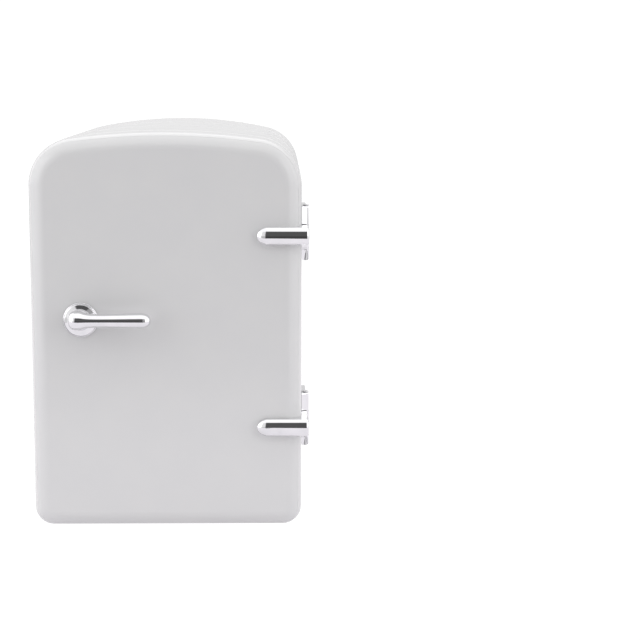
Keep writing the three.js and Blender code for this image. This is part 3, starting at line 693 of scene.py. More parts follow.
def body_shell():
    """The outer skin: grooves, a rounded front lip, socket holes, and posts for the cover's screws."""
    depth, half, edge = 1.0, 2.0, 0.15
    profile = run(BODY_FRONT, BODY_FRONT + 20, 1.2)[:-1]
    for offset in GROOVES:
        y = BODY_FRONT + offset
        flank = [(half + edge, 0), (half, 0.04), (half - edge, 0.15), (0.9, depth - 0.12), (0.7, depth)]
        profile += [(y - s, inset) for s, inset in flank]
        profile += [(y + s, inset) for s, inset in reversed(flank)]
    profile += run(BODY_REAR - 20, BODY_REAR, 0, 0.9)[1:]
    profile += [(BODY_REAR, WALL - 0.3), (BODY_REAR - 0.3, WALL)]
    profile += [(BODY_FRONT + 0.3, WALL), (BODY_FRONT, WALL - 0.3)]
    shell = make("cabinet_shell", loft([body_ring(y, inset) for y, inset in profile], looped=True))
    screws = [across("y", middle(node)) for node in COVER_SCREWS]
    join(shell, *(screw_post(x, z) for x, z in screws))
    ac, dc, switch = (middle(node) for node in ("ac_inlet", "dc_inlet", "switch_housing"))
    side = (HALF - WALL - 3, HALF + 1)
    leaf_screws = [f"{level}_leaf_screw_{i}" for level in LEVELS for i in (1, 2)]
    front = extent("rear_cover")[0].y
    pilot = [(0, front - 13), (1.7, front - 12), (1.7, front + 1), (0, front + 1)]
    cut(
        shell,
        pad("x", rectangle(ac.y, ac.z, 10, 5.5, 2.3), run(*side)),
        rod("x", dc.y, dc.z, 5.7, *side),
        pad("x", rectangle(switch.y, switch.z, 6.7, 10.5, 0.6), run(*side)),
        *rods("z", FEET, 7.3, -1, 1),
        *rods("x", leaf_screws, 1.5, *side, 16),
        *(turned("y", pilot, (x, 0, z), 20) for x, z in screws),
    )
    finish(shell, "cabinet", "shell_white", "body_shell")


def screw_post(x, z):
    """A boss for a cover screw with a rib to the nearest wall."""
    rear = extent("rear_cover")[0].y - 0.2
    front = rear - 15
    boss = pad("y", circle(x, z, 5, 24), run(front, rear, 0.4, 0.4, 2))
    if abs(x) > 1:
        wall = math.copysign(HALF - 1.5, x)
        rib = rounded(min(x, wall), max(x, wall), z - 1.5, z + 1.5, 0.1, 1)
    else:
        wall = HEIGHT - 1.2 if z > HEIGHT / 2 else 1.2
        rib = rounded(-1.5, 1.5, min(z, wall), max(z, wall), 0.1, 1)
    return taken(join(make("post", boss), pad("y", rib, run(front + 1, rear - 1))))


def inner_liner():
    """The cold space: a tub with a rolled mouth, two shelf ledges and a window for the cold block."""
    left, right, low, high = CAVITY
    skin = 2
    lip = WALL + 0.3
    rim = [(BODY_FRONT, lip + 0.3), (BODY_FRONT + 0.3, lip), (BODY_FRONT + 2, lip)]
    liner = make("cold_space_liner", loft([body_ring(y, inset) for y, inset in rim]))
    tub = rounded(left - skin, right + skin, low - skin, high + skin, CAVITY_RADIUS + skin, 10)
    join(liner, pad("y", tub, run(BODY_FRONT + 0.5, CAVITY_REAR + skin, 0, 4)))
    space = rounded(left, right, low, high, CAVITY_RADIUS, 10)
    cut(liner, pad("y", space, run(BODY_FRONT, CAVITY_REAR, -1.6, 3)))
    ledge = extent("shelf")[0].z - 0.3
    for side in (-1, 1):
        inner, outer = side * (right - 3.5), side * (right + 1)
        shape = rounded(min(inner, outer), max(inner, outer), ledge - 3, ledge, 0.9, 3)
        join(liner, pad("y", shape, run(BODY_FRONT + 26, CAVITY_REAR + 1, 0.9)))
    rear = (CAVITY_REAR - 3, CAVITY_REAR + 5)
    window = 20.6
    cut(liner, pad("y", rectangle(0, COOLING.z, window, window, 0.4, 1), run(*rear)))
    cut(liner, *rods("y", PLATE_SCREWS, 1.5, *rear, 16))
    finish(liner, "cabinet", "inner_white", "inner_liner")


def rear_cover():
    """The rear panel: two rows of slots, a round grille, sunk screws and a recess for the label."""
    low, high = extent("rear_cover")
    inset = WALL + 0.3
    stations = [(low.y, inset), *[(y, inset + i) for y, i in run(high.y - 1, high.y, 0, 0.55)[1:]]]
    cover = make("rear_panel", loft([body_ring(y, i) for y, i in stations]))
    shapes = []
    for count, pitch, bottom, top in ((18, 6, 212.5, 253.5), (20, 6.1, 22, 62.5)):
        for i in range(count):
            x = (i - (count - 1) / 2) * pitch
            shapes.append(rounded(x - 1.5, x + 1.5, bottom, top, 0.35, 2))
    shapes += [polygon(shape) for shape in grille_shapes()]
    through = run(low.y - 1, high.y, 0, -0.22, 2)
    cut(cover, merge(*(pad("y", shape, through) for shape in shapes)))
    sink = run(high.y - 1.7, high.y, 0.3, -0.45, 3)
    cut(cover, merge(*(pad("y", circle(*across("y", middle(node)), 4, 32), sink) for node in COVER_SCREWS)))
    cut(cover, merge(*rods("y", COVER_SCREWS, 1.7, low.y - 1, high.y - 1, 16)))
    cut(cover, pad("y", node_face("y", "rating_label", 1.2, 0.4), run(high.y - 0.7, high.y, 0.1, -0.25, 2)))
    finish(cover, "cabinet", "shell_white", "rear_cover")


def grille_shapes():
    """Upright slots in a circle round a plain hub, as anticlockwise outlines in (x, z)."""
    radius, hub, pitch, width = 38.2, 15.6, 10.05, 4.4
    side_slots = 4
    shapes = []
    for i in range(side_slots):
        left = (i + 0.5) * pitch - width / 2
        outermost = i == side_slots - 1
        right = radius if outermost else left + width
        top = arc(0, 0, radius, *(math.degrees(math.acos(x / radius)) for x in (right, left)), 5)
        bottom = [(x, -z) for x, z in reversed(top)]
        if left >= hub:
            found = [top + bottom[:-1] if outermost else top + bottom]
        elif right <= hub:
            upper = top + arc(0, 0, hub, *(math.degrees(math.acos(x / hub)) for x in (left, right)), 4)
            found = [upper, [(x, -z) for x, z in reversed(upper)]]
        else:
            start = math.degrees(math.acos(left / hub))
            found = [top + arc(0, 0, hub, start, -start, 14) + bottom]
        for shape in found:
            shapes += [shape, [(-x, z) for x, z in reversed(shape)]]
    return [[(x + COOLING.x, z + COOLING.z) for x, z in shape] for shape in shapes]


def rating_label():
    """A plain white label: a thin frame and bars stand where print would be."""
    low, high = extent("rating_label")
    sheet = pad("y", node_face("y", "rating_label", 0.8), run(low.y, high.y, 0, 0.05, 1))
    piece("rating_label_sheet", sheet, "cabinet", "label_paper", "rating_label")
    ink = (high.y - 0.05, high.y + 0.02)
    border = node_face("y", "rating_label", 0.6, -1.3, 3)
    bars = [(-10, 10, 25.4, 27.3, 0.3), (-8.5, 8.5, 21.8, 23, 0.3)]
    bars += [(-18.5, 18.5, 18.4, 19.6, 0.3), (-6, 6, 15, 16.2, 0.3)]
    bars += [(x - 2.2, x + 2.2, 6.6, 11, 0.5) for x in (-12.5, -5.5, 1.5)]
    bars += [(6.5, 16, 7.6, 10, 0.5), (-6, 6, 3, 3.9, 0.3)]
    print_bars = [
        pad("y", rounded(left, right, low.z + bottom, low.z + top, radius, 2), run(*ink))
        for left, right, bottom, top, radius in bars
    ]
    marks = make("rating_label_print", merge(band(border(0), border(0.3), *ink), *print_bars))
    finish(marks, "cabinet", "label_paper", material=PRINT)


def cross_screw(head, shank, height, tip, dome=0.5):
    """A screw along +Y seen from its head at y = 0: a low dome with a cross recess."""
    edge = 0.35
    profile = [(0, tip), (shank * 0.4, tip + 0.2), (shank, tip + 1.6), (shank, -height)]
    profile += [(head - 0.1, -height), (head, -height + 0.15), (head, -dome - edge)]
    profile += [(head - edge * (1 - math.cos(t)), -dome - edge + edge * math.sin(t)) for t in (0.5, 1.1)]
    profile += [(head * 0.8, -dome * 0.5), (head * 0.45, -dome * 0.1), (0, 0)]
    screw = make("screw_master", turned("y", profile, sides=32))
    long, wide, deep = head * 0.62, head * 0.13, height * 0.8
    for a, b in ((long, wide), (wide, long)):
        arm = polygon([(a, -b), (a, b), (-a, b), (-a, -b)])
        cut(screw, pad("y", arm, [(-deep, wide * 0.55), (-deep * 0.5, wide * 0.2), (1, -0.02)]))
    return taken(screw)


def cover_screws():
    solid = cross_screw(3.3, 1.3, 1.1, -14)
    for i, node in enumerate(COVER_SCREWS):
        x, z = across("y", middle(node))
        turn = Matrix.Rotation(math.radians(23 * i), 3, "Y")
        piece(f"cover_screw_{i + 1}", moved(solid, x, extent(node)[1].y, z, turn), "cabinet", "steel", node)


def feet():
    low, high = extent(FEET[0])
    top = high.z - low.z
    profile = [(0, 0.5), (3.2, 0.5), (3.7, 0.35), (4, 0), (6, 0)]
    profile += [(6 + math.sin(t), 1 - math.cos(t)) for t in (0.3, 0.7, 1.1, math.pi / 2)]
    profile += [(7, top - 0.3), (6.7, top), (0, top)]
    for node in FEET:
        solid = turned("z", profile, (*across("z", middle(node)), low.z), 40)
        piece(f"rubber_{node}", solid, "cabinet", "rubber_black", node)


def latch_keeper():
    """A plate on the liner's wall with a raised tab for the hook."""
    low, high = extent("latch_keeper")
    plate = pad("x", node_face("x", "latch_keeper", 1, steps=3), run(low.x, low.x + 1.3, 0, 0.4, 2))
    z = middle("latch_keeper").z
    tab = pad("x", rounded(low.y, high.y, z - 6, z + 6, 1, 3), run(low.x + 0.5, high.x, 0, 0.8, 3))
    finish(join(make("keeper", plate), tab), "cabinet", "inner_white", "latch_keeper")


# ---- Cooling ----

def cold_plate():
    low, high = extent("cold_plate")
    plate = make("cold_plate_sheet", pad("y", node_face("y", "cold_plate", 6), run(low.y, high.y, 0.4, 0)))
    cut(
        plate,
        pad("y", node_face("y", "cold_plate", 4, -5), run(low.y, low.y + 0.5, -0.35, 0.1, 3)),
        *rods("y", PLATE_SCREWS, 1.6, low.y - 1, high.y + 1, 20),
    )
    finish(plate, "cabinet", "aluminium", "cold_plate")
    solid = cross_screw(3, 1.2, 1.2, -12.5)
    flip = Matrix.Rotation(math.pi, 3, "Z")
    for i, node in enumerate(PLATE_SCREWS):
        x, z = across("y", middle(node))
        piece(f"plate_screw_{i + 1}", moved(solid, x, extent(node)[0].y, z, flip), "cabinet", "steel", node)


def cold_block():
    for node, name, slot in (
        ("cold_block", "cold_transfer_block", "aluminium"),
        ("peltier_module", "cooling_module", "ceramic_white"),
    ):
        low, high = extent(node)
        solid = pad("y", node_face("y", node, 0.6, steps=3), run(low.y, high.y, 0.3, 0.3, 2))
        piece(name, solid, "cabinet", slot, node)


def heat_sink():
    """An extruded base with upright fins, drawn as one comb."""
    low, high = extent("heat_sink")
    fins, thick, base = 13, 1.2, 4.2
    pitch = (high.x - low.x - thick) / (fins - 1)
    comb = [(low.x, low.y), (high.x, low.y)]
    for i in reversed(range(fins)):
        x = low.x + i * pitch
        if i < fins - 1:
            comb.append((x + thick, low.y + base))
        comb += [(x + thick, high.y), (x, high.y)]
        if i > 0:
            comb.append((x, low.y + base))
    solid = pad("z", polygon(comb), run(low.z, high.z, 0.15, 0.15, 2))
    piece("finned_heat_sink", solid, "cabinet", "aluminium", "heat_sink")


def fan_frame():
    """A square housing: a round flared bore, a waist between the flanges, bolt holes and four struts."""
    low, high = extent("fan_frame")
    bore, bolt, flange, hub = 37.5, 35.8, 4, 15
    x, z = across("y", COOLING)
    body = make("fan_housing", pad("y", node_face("y", "fan_frame", 4), run(low.y, high.y, 0.5, 0.5, 3)))
    cut(body, pad("y", circle(x, z, bore, 72), run(low.y, high.y, -1, -1.2, 4)))
    waist = circle(x, z, bore + 1.6, 28)
    cut(body, band(node_face("y", "fan_frame", 4, 1)(0), waist(0), low.y + flange, high.y - flange))
    for side in (-1, 1):
        for level in (-1, 1):
            corner = (side * bolt, level * bolt + z)
            join(body, rod("y", *corner, 3.7, low.y + 0.2, high.y - 0.2, 24))
            cut(body, pad("y", circle(*corner, 2.2, 20), run(low.y, high.y, -0.4, -0.4, 2)))
    join(body, pad("y", circle(x, z, hub, 40), run(low.y, low.y + 2.5, 0.4, 0.4, 2)))
    bar = rounded(hub - 3, bore + 1, -1.6, 1.6, 0.4, 2)
    strut = pad("y", bar, run(low.y + 0.1, low.y + 2.4, 0.3, 0.3, 2))
    for angle in (20, 110, 200, 290):
        join(body, moved(strut, z=z, turn=Matrix.Rotation(math.radians(angle), 3, "Y")))
    cut(body, rod("y", x, z, 1.9, low.y - 1, low.y + 4, 20))
    finish(body, "cabinet", "black_plastic", "fan_frame")


def blade_section(chord, pitch, thick):
    """A cambered blade's (tangential, axial) outline: one face and back along the other."""
    section = []
    for side, shares in ((1, range(-4, 5)), (-1, range(4, -5, -1))):
        for t in (share / 4 for share in shares):
            along = t * chord / 2
            off = 1.6 * (1 - t * t) + side * thick * math.sqrt(max(1 - t * t, 0.02))
            section.append((
                along * math.cos(pitch) - off * math.sin(pitch),
                along * math.sin(pitch) + off * math.cos(pitch),
            ))
    return section


def fan_rotor():
    """A domed hub with seven curved, twisted blades."""
    low, high = extent("fan_rotor")
    hub, blades, steps, half_depth = 15.5, 7, 6, 8.2
    root = hub - 1.5
    tip = extent("fan_frame")[1].x - 3.8
    rear = high.y
    profile = [(0, low.y), (1.5, low.y), (1.5, low.y + 2.6), (hub - 1, low.y + 2.6), (hub, low.y + 3.4)]
    edge = 1.6
    for t in (0, 0.4, 0.8, 1.2, math.pi / 2):
        profile.append((hub - edge + edge * math.cos(t), rear - edge + edge * math.sin(t)))
    profile += [(10, rear), (9.6, rear - 0.3), (0, rear - 0.3)]
    rotor = make("fan_impeller", turned("y", profile, (0, 0, COOLING.z)))
    mid = (low.y + 3 + rear) / 2
    for blade in range(blades):
        rings = []
        for share in (step / steps for step in range(steps + 1)):
            radius = root + share * (tip - root)
            swing = blade * 2 * math.pi / blades + 0.25 * share
            ring = []
            section = blade_section(15 + 5 * share, math.radians(52 - 16 * share), 0.75 - 0.25 * share)
            for tangential, axial in section:
                angle = swing + tangential / radius
                y = mid + max(-half_depth, min(half_depth, axial))
                ring.append((radius * math.cos(angle), y, COOLING.z + radius * math.sin(angle)))
            rings.append(ring)
        join(rotor, loft(rings))
    finish(rotor, "fan", "black_plastic", "fan_rotor")


def bay_bulkhead():
    """The machine bay's front wall: a window for the heat sink, posts for the board and two ribs."""
    low, high = extent("bay_bulkhead")
    inset = WALL + 0.3
    rear = low.y + 2
    rings = [(low.y, inset), (rear - 0.3, inset), (rear, inset + 0.3)]
    wall = make("machine_bay_wall", loft([body_ring(y, i) for y, i in rings]))
    cut(wall, pad("y", node_face("y", "heat_sink", 1, 0.4, 3), run(low.y - 1, rear, 0, -0.4, 2)))
    for x, z in board_corners():
        join(wall, pad("y", circle(x, z, 3, 24), run(rear, high.y, -1, 0.2, 3)))
    for z in (60, 95):
        join(wall, pad("y", rectangle(0, z, 60, 0.8, 0.3, 2), run(rear - 0.5, rear + 3, 0, 0.4, 2)))
    finish(wall, "cabinet", "grey_plastic", "bay_bulkhead")


# ---- Power ----

def board_corners():
    """Where the power board is held, in (x, z)."""
    low, high = extent("power_board")
    return [(x, z) for x in (low.x + 5, high.x - 5) for z in (low.z + 5, high.z - 5)]


def power_board():
    low, high = extent("power_board")
    shape = node_face("y", "power_board", 1, steps=3)
    board = make("circuit_board", pad("y", shape, run(low.y, high.y, 0.1, 0.1, 1)))
    cut(board, *(rod("y", x, z, 1.6, low.y - 1, high.y + 1, 20) for x, z in board_corners()))
    finish(board, "cabinet", "circuit_board", "power_board")
    half = [(0, -3), (1, -3), (1.2, -2.4), (1, -1.8)]
    profile = half + [(radius, -z) for radius, z in reversed(half)]
    places = ((33, 227), (37, 227), (-3, 221.9), (3, 221.9), (-35, 249))
    resistors = [turned("z", profile, (x, high.y + 1.3, z), 16) for x, z in places]
    piece("board_resistors", merge(*resistors), "cabinet", "ceramic_white")


def transformer():
    """A taped winding between two dark core plates."""
    low, high = extent("transformer")
    winding = pad("z", node_face("z", "transformer", 3, steps=5), run(low.z + 4, high.z - 4, 0.6, 0.6))
    bobbin = pad("z", rounded(low.x + 1, high.x - 1, low.y, high.y - 1, 2, 4), run(low.z + 2, high.z - 2))
    windings = join(make("transformer_winding", winding), bobbin)
    finish(windings, "cabinet", "transformer_tape", "transformer")
    plate = rounded(low.x, high.x, low.y, high.y - 1, 0.5, 2)
    plates = [pad("z", plate, run(z, z + 3.9, 0.3, 0.3, 2)) for z in (high.z - 3.9, low.z)]
    piece("transformer_core", merge(*plates), "cabinet", "black_plastic")


def board_heat_sink():
    low, high = extent("board_heat_sink")
    fins, pitch, thick, base = 4, 4.8, 1.6, 2
    comb = [(low.x, low.y), (high.x, low.y), (high.x, low.y + base)]
    for i in reversed(range(fins)):
        x = low.x + i * pitch
        comb += [(x + thick, low.y + base), (x + thick, high.y), (x, high.y)]
        if i > 0:
            comb.append((x, low.y + base))
    solid = pad("z", polygon(comb), run(low.z, high.z, 0.2, 0.2, 2))
    piece("board_sink", solid, "cabinet", "black_plastic", "board_heat_sink")


def capacitors():
    """Two cans, each with a crimped neck and a cross scored in its top."""
    for node in ("capacitor_1", "capacitor_2"):
        low, high = extent(node)
        radius = (high.x - low.x) / 2
        x, z = across("y", middle(node))
        profile = [(0, low.y), (radius - 0.4, low.y), (radius, low.y + 0.5), (radius, low.y + 1.4)]
        profile += [(radius - 0.35, low.y + 1.9), (radius, low.y + 2.4), (radius, high.y - 0.5)]
        profile += [(radius - 0.4, high.y), (radius - 1.3, high.y)]
        profile += [(radius - 1.5, high.y - 0.3), (0, high.y - 0.3)]
        can = make(f"{node}_can", turned("y", profile, (x, 0, z), 36))
        score = pad("y", rectangle(0, 0, radius - 2, 0.15, 0.1, 1), run(high.y - 0.6, high.y + 1))
        for turn in (0, math.pi / 2):
            cut(can, moved(score, x, 0, z, Matrix.Rotation(turn, 3, "Y")))
        finish(can, "cabinet", "black_plastic", node)


def varistor():
    low, high = extent("varistor")
    radius = (high.x - low.x) / 2
    x, z = across("y", middle("varistor"))
    profile = [(0, low.y), (radius - 1.2, low.y), (radius, low.y + 1.6), (radius, high.y - 2)]
    profile += [(radius - 0.8, high.y - 0.6), (radius - 2, high.y), (0, high.y)]
    piece("varistor_body", turned("y", profile, (x, 0, z), 32), "cabinet", "ceramic_white", "varistor")


def ac_inlet():
    """A two-pin mains socket with a slotted round-ended mouth."""
    low, high = extent("ac_inlet")
    y, z = across("x", middle("ac_inlet"))
    bezel = high.x - 1.2
    seat = SOCKET_SEAT
    socket = make("mains_socket", pad("x", rectangle(y, z, 12, 7.5, 3), run(bezel, high.x, 0, 0.7)))
    join(socket, pad("x", rectangle(y, z, 9.7, 5.2, 2), run(low.x, bezel + 0.5, 0.4, 0)))
    cut(socket, pad("x", rectangle(y, z, 7.9, 3.9, 3.8, 10), run(seat, high.x, 0.3, -0.5)))
    finish(socket, "cabinet", "black_plastic", "ac_inlet")
    pin = [(0, seat - 0.5), (1.15, seat - 0.5), (1.15, seat + 6), (0.8, seat + 6.8), (0, seat + 7)]
    pins = [turned("x", pin, (0, y + side, z), 24) for side in (-4.3, 4.3)]
    piece("mains_socket_pins", merge(*pins), "cabinet", "steel")


def dc_inlet():
    """A round 12 V socket with its centre pin."""
    low, high = extent("dc_inlet")
    place = (0, *across("x", middle("dc_inlet")))
    bezel = high.x - 1
    seat = SOCKET_SEAT
    profile = [(0, low.x), (5.2, low.x), (5.4, low.x + 0.3), (5.4, bezel), (7, bezel), (7, bezel + 0.3)]
    profile += [(6.8, high.x - 0.2), (6.4, high.x), (3.3, high.x), (2.95, high.x - 0.3)]
    profile += [(2.9, seat), (0, seat)]
    piece("dc_socket", turned("x", profile, place), "cabinet", "black_plastic", "dc_inlet")
    pin = [(0, seat - 0.2), (1, seat - 0.2), (1, seat + 7.2), (0.6, seat + 7.9), (0, seat + 8)]
    piece("dc_socket_pin", turned("x", pin, place, 24), "cabinet", "steel")


def mode_switch():
    """A rocker switch: a frame with a bezel, and a rocker on a cross pin with a dimple at each end."""
    low, high = extent("switch_housing")
    y, z = across("x", middle("switch_housing"))
    bezel = high.x - 1.2
    housing = make("switch_frame", pad("x", rectangle(y, z, 8, 12, 2), run(bezel, high.x, 0, 0.6)))
    join(housing, pad("x", rectangle(y, z, 6.4, 10.2, 0.5, 2), run(low.x, bezel + 0.5, 0.3, 0)))
    cut(housing, pad("x", rectangle(y, z, 5.2, 9.2, 0.4, 2), run(SOCKET_SEAT + 0.5, high.x, 0, -0.4, 3)))
    pivot = across("y", joint_place("mode_switch_rock"))
    cut(housing, rod("y", *pivot, 1.6, y - 7, y + 7, 20))
    finish(housing, "cabinet", "black_plastic", "switch_housing")
    half = [(-1.6, -7.2), (5.8, -7), (5.3, -5), (4.6, -2.4)]
    face = half + [(4.2, 0)] + [(a, -b) for a, b in reversed(half)]
    face = [(pivot[0] + a, pivot[1] + b) for a, b in face]
    rocker = make("switch_rocker", pad("y", polygon(face), run(y - 4.8, y + 4.8, 0.5, 0.5, 3)))
    join(rocker, rod("y", *pivot, 1.2, y - 6, y + 6, 20))
    for side in (-1, 1):
        cut(rocker, rod("x", y, pivot[1] + side * 5, 1.1, pivot[0] + 4.7, pivot[0] + 6.5, 24))
    finish(rocker, "mode_switch", "black_plastic", "mode_rocker")


def strands(points, radius, spacing, turns):
    """Two conductors side by side along a path, turning about each other."""
    placed = frames(smooth_path(points))
    solids = []
    for phase in (0, math.pi):
        strand = []
        for i, (point, side, up) in enumerate(placed):
            angle = phase + 2 * math.pi * turns * i / (len(placed) - 1)
            strand.append(point + (side * math.cos(angle) + up * math.sin(angle)) * spacing / 2)
        solids.append(tube(strand, radius, 12))
    return merge(*solids)


def leads():
    """The inner wiring, held by its ends: mains flex, 12 V pair, module pair and fan pair."""
    side_y = middle("ac_inlet").y
    ac_z = middle("ac_inlet").z
    dc_z = middle("dc_inlet").z
    mains = [
        (79, side_y, ac_z), (75, side_y, ac_z + 0.5), (67, 223, 35), (56, 226, 45), (45, 227, 49),
        (37, 227, 55), (34, 225, 66), (39, 222, 84), (51, 221, 104), (57, 221, 132), (58, 221, 170),
        (57, 220, 200), (54, 218, 214), (49, 214.4, 224),
    ]
    low_volt = [
        (79, side_y, dc_z), (76, side_y, dc_z + 0.5), (70, 220, 58), (66, 217, 76), (66, 214, 110),
        (67, 213, 160), (66, 213, 200), (62, 214, 226), (54, 215, 233), (47, 214, 231),
    ]
    module = [
        (28, 197.4, 211), (46, 203, 212), (59, 214, 218), (61, 228, 228), (52, 236, 235), (34, 238, 239.5),
        (8, 238, 240.5), (-16, 237, 240), (-33, 230, 238), (-38, 217, 236), (-36, 213.6, 232),
    ]
    fan = [(-30, 231, 206.2), (-33, 229, 210), (-36, 222, 216), (-34, 216, 222), (-33, 213.4, 226)]
    piece("mains_flex", tube(smooth_path(mains, 8), 2, 20), "cabinet", "lead_black", "ac_lead")
    piece("low_volt_pair", strands(low_volt, 0.72, 1.5, 3), "cabinet", "lead_black", "dc_lead")
    piece("module_pair", strands(module, 0.72, 1.5, 5), "cabinet", "lead_white", "module_lead")
    piece("fan_pair", strands(fan, 0.55, 1.2, 2), "cabinet", "lead_red", "fan_lead")


# ---- Shelf and door furniture ----

def shelf():
    """A slotted plate with a raised front edge."""
    low, high = extent("shelf")
    top = low.z + 2.5
    plate = make("shelf_plate", pad("z", node_face("z", "shelf", 5), run(low.z, top, 0.7, 0.7, 3)))
    edge = rounded(low.x + 3.2, high.x - 3.2, low.y, low.y + 2.5, 1.2, 4)
    join(plate, pad("z", edge, run(low.z + 0.7, high.z, 0, 0.9, 3)))
    for x in range(-50, 51, 20):
        slot = rounded(x - 4, x + 4, low.y + 14, high.y - 8, 3.95, 8)
        cut(plate, pad("z", slot, run(low.z, top, -0.6, -0.6, 3)))
    finish(plate, "shelf", "inner_white", "shelf")


def door_stations(inset, rear, parting=False):
    """(y, inset) pairs from the door's flat face round its edge to a straight side."""
    radius = DOOR_ROUND - inset
    angles = [(90 - 6 * i, 0) for i in range(16)]
    if parting:
        angles += [(39, 0), (38.6, 0.1), (38, 0.13), (37.4, 0.1), (37, 0)]
        angles.sort(reverse=True)
    stations = []
    for angle, sunk in angles:
        t = math.radians(angle)
        r = radius - sunk
        stations.append((DOOR_ROUND - r * math.sin(t), DOOR_ROUND - r * math.cos(t)))
    return stations + [(rear, inset)]


def door_shell():
    """The door's glossy skin: a flat face, a full round edge with a fine mould line, and an open back."""
    edge = DOOR_REAR - 0.8
    profile = door_stations(0, edge, parting=True)
    profile += [(edge + 0.8 * math.sin(t), 0.8 - 0.8 * math.cos(t)) for t in (0.5, 1.0, math.pi / 2)]
    profile += [(DOOR_REAR, WALL - 0.3), (DOOR_REAR - 0.3, WALL)]
    profile += reversed(door_stations(WALL, DOOR_REAR - 1)[:-1])
    shell = make("door_skin", loft([door_ring(y, inset) for y, inset in profile]))
    cut(shell, rod("y", HANDLE.x, HANDLE.z, HANDLE_BORE, -5, 20, 32))
    finish(shell, "door", "shell_white", "door_outer_shell")


def door_inner_panel():
    """The door's white lining: a rim that holds the gasket and a raised plug with a shallow dish."""
    low, high = extent("door_inner_panel")
    left, right, bottom, top = CAVITY
    face = DOOR_REAR
    lip = WALL + 0.3

    def plug(inset, radius, steps):
        return rounded(left + inset, right - inset, bottom + inset, top - inset, radius, steps)

    rim = [(low.y, lip), (face - 0.3, lip), (face, lip + 0.3)]
    panel = make("door_lining", loft([door_ring(y, inset) for y, inset in rim]))
    join(panel, pad("y", plug(3.5, CAVITY_RADIUS, 10), run(face, high.y, -1.2, 2.2)))
    channel = node_face("y", "door_gasket", 22.3, 0.3, 10)
    cut(
        panel,
        pad("y", plug(5.5, CAVITY_RADIUS - 2, 8), run(low.y - 1, high.y - 2.4, 0, 1)),
        pad("y", plug(12.5, 8, 8), run(high.y - 0.8, high.y, 0.3, -0.9)),
        band(channel(0), channel(8.1), face - 1.2, face + 1),
        rod("y", HANDLE.x, HANDLE.z, HANDLE_BORE, low.y - 1, high.y + 1, 32),
    )
    finish(panel, "door", "inner_white", "door_inner_panel")


def door_gasket():
    """A soft double-lobed seal all round the door."""
    low, high = extent("door_gasket")
    shape = node_face("y", "door_gasket", 22, steps=12)
    base, crest = low.y, high.y
    wide = 7.5
    half = [
        (0.5, base), (0.05, base + 0.5), (0, base + 1.5), (0.35, crest - 0.35), (1.1, crest - 0.03),
        (1.8, crest), (2.5, crest - 0.12), (3.1, crest - 0.6),
    ]
    section = half + [(wide / 2, crest - 0.8)] + [(wide - inset, y) for inset, y in reversed(half)]
    rings = [[(a, y, b) for a, b in shape(inset)] for inset, y in section]
    piece("door_seal", loft(rings, looped=True), "door", "gasket_rubber", "door_gasket")


def door_rack():
    """A clear tray with a cut-down front and a row of short slots."""
    low, high = extent("door_rack")
    thick = 2
    rack = make("rack_tray", pad("z", node_face("z", "door_rack", 4), run(low.z, high.z, 1.2, 0.6, 3)))
    cut(rack, pad("z", node_face("z", "door_rack", 2.5, -thick), run(low.z + thick, high.z, 1.2, -0.5, 3)))
    notch = rounded(low.x + 14, high.x - 14, high.z - 12, high.z + 12, 5, 6)
    cut(rack, pad("y", notch, run(high.y - thick - 1, high.y + 1)))
    for x in range(-36, 37, 12):
        slot = rounded(x - 3, x + 3, low.z + 8, low.z + 20, 2.9, 6)
        cut(rack, pad("y", slot, run(high.y - thick, high.y, -0.4, -0.4, 2)))
    finish(rack, "door", "rack_clear", "door_rack")


# ---- Handle and latch ----

def handle_rosette():
    """A round plate under the lever: a low rim, a groove and a shallow cone."""
    low, high = extent("handle_rosette")
    foot, front = high.y, low.y
    profile = [(HANDLE_BORE, foot), (11.6, foot), (11.8, foot - 0.2)]
    profile += arc(11.2, foot - 0.4, 0.6, 0, -90, 5)
    profile += [(11.0, foot - 0.95), (10.85, foot - 0.85), (10.7, foot - 0.95), (10.62, foot - 1.7)]
    profile += arc(10.2, foot - 1.75, 0.42, -10, -72, 5)
    profile += [(9.2, foot - 2.42), (8, foot - 2.76), (6.8, foot - 3.1), (5.4, front + 0.3), (5.1, front)]
    profile += [(HANDLE_BORE, front)]
    solid = turned("y", profile, (HANDLE.x, 0, HANDLE.z), 96, looped=True)
    piece("handle_plate", solid, "door", "chrome", "handle_rosette")


def blunt(u, power):
    """Height of a rounded end at a share u of its length; a higher power makes it blunter."""
    return max(1 - abs(u) ** power, 0) ** (1 / power)


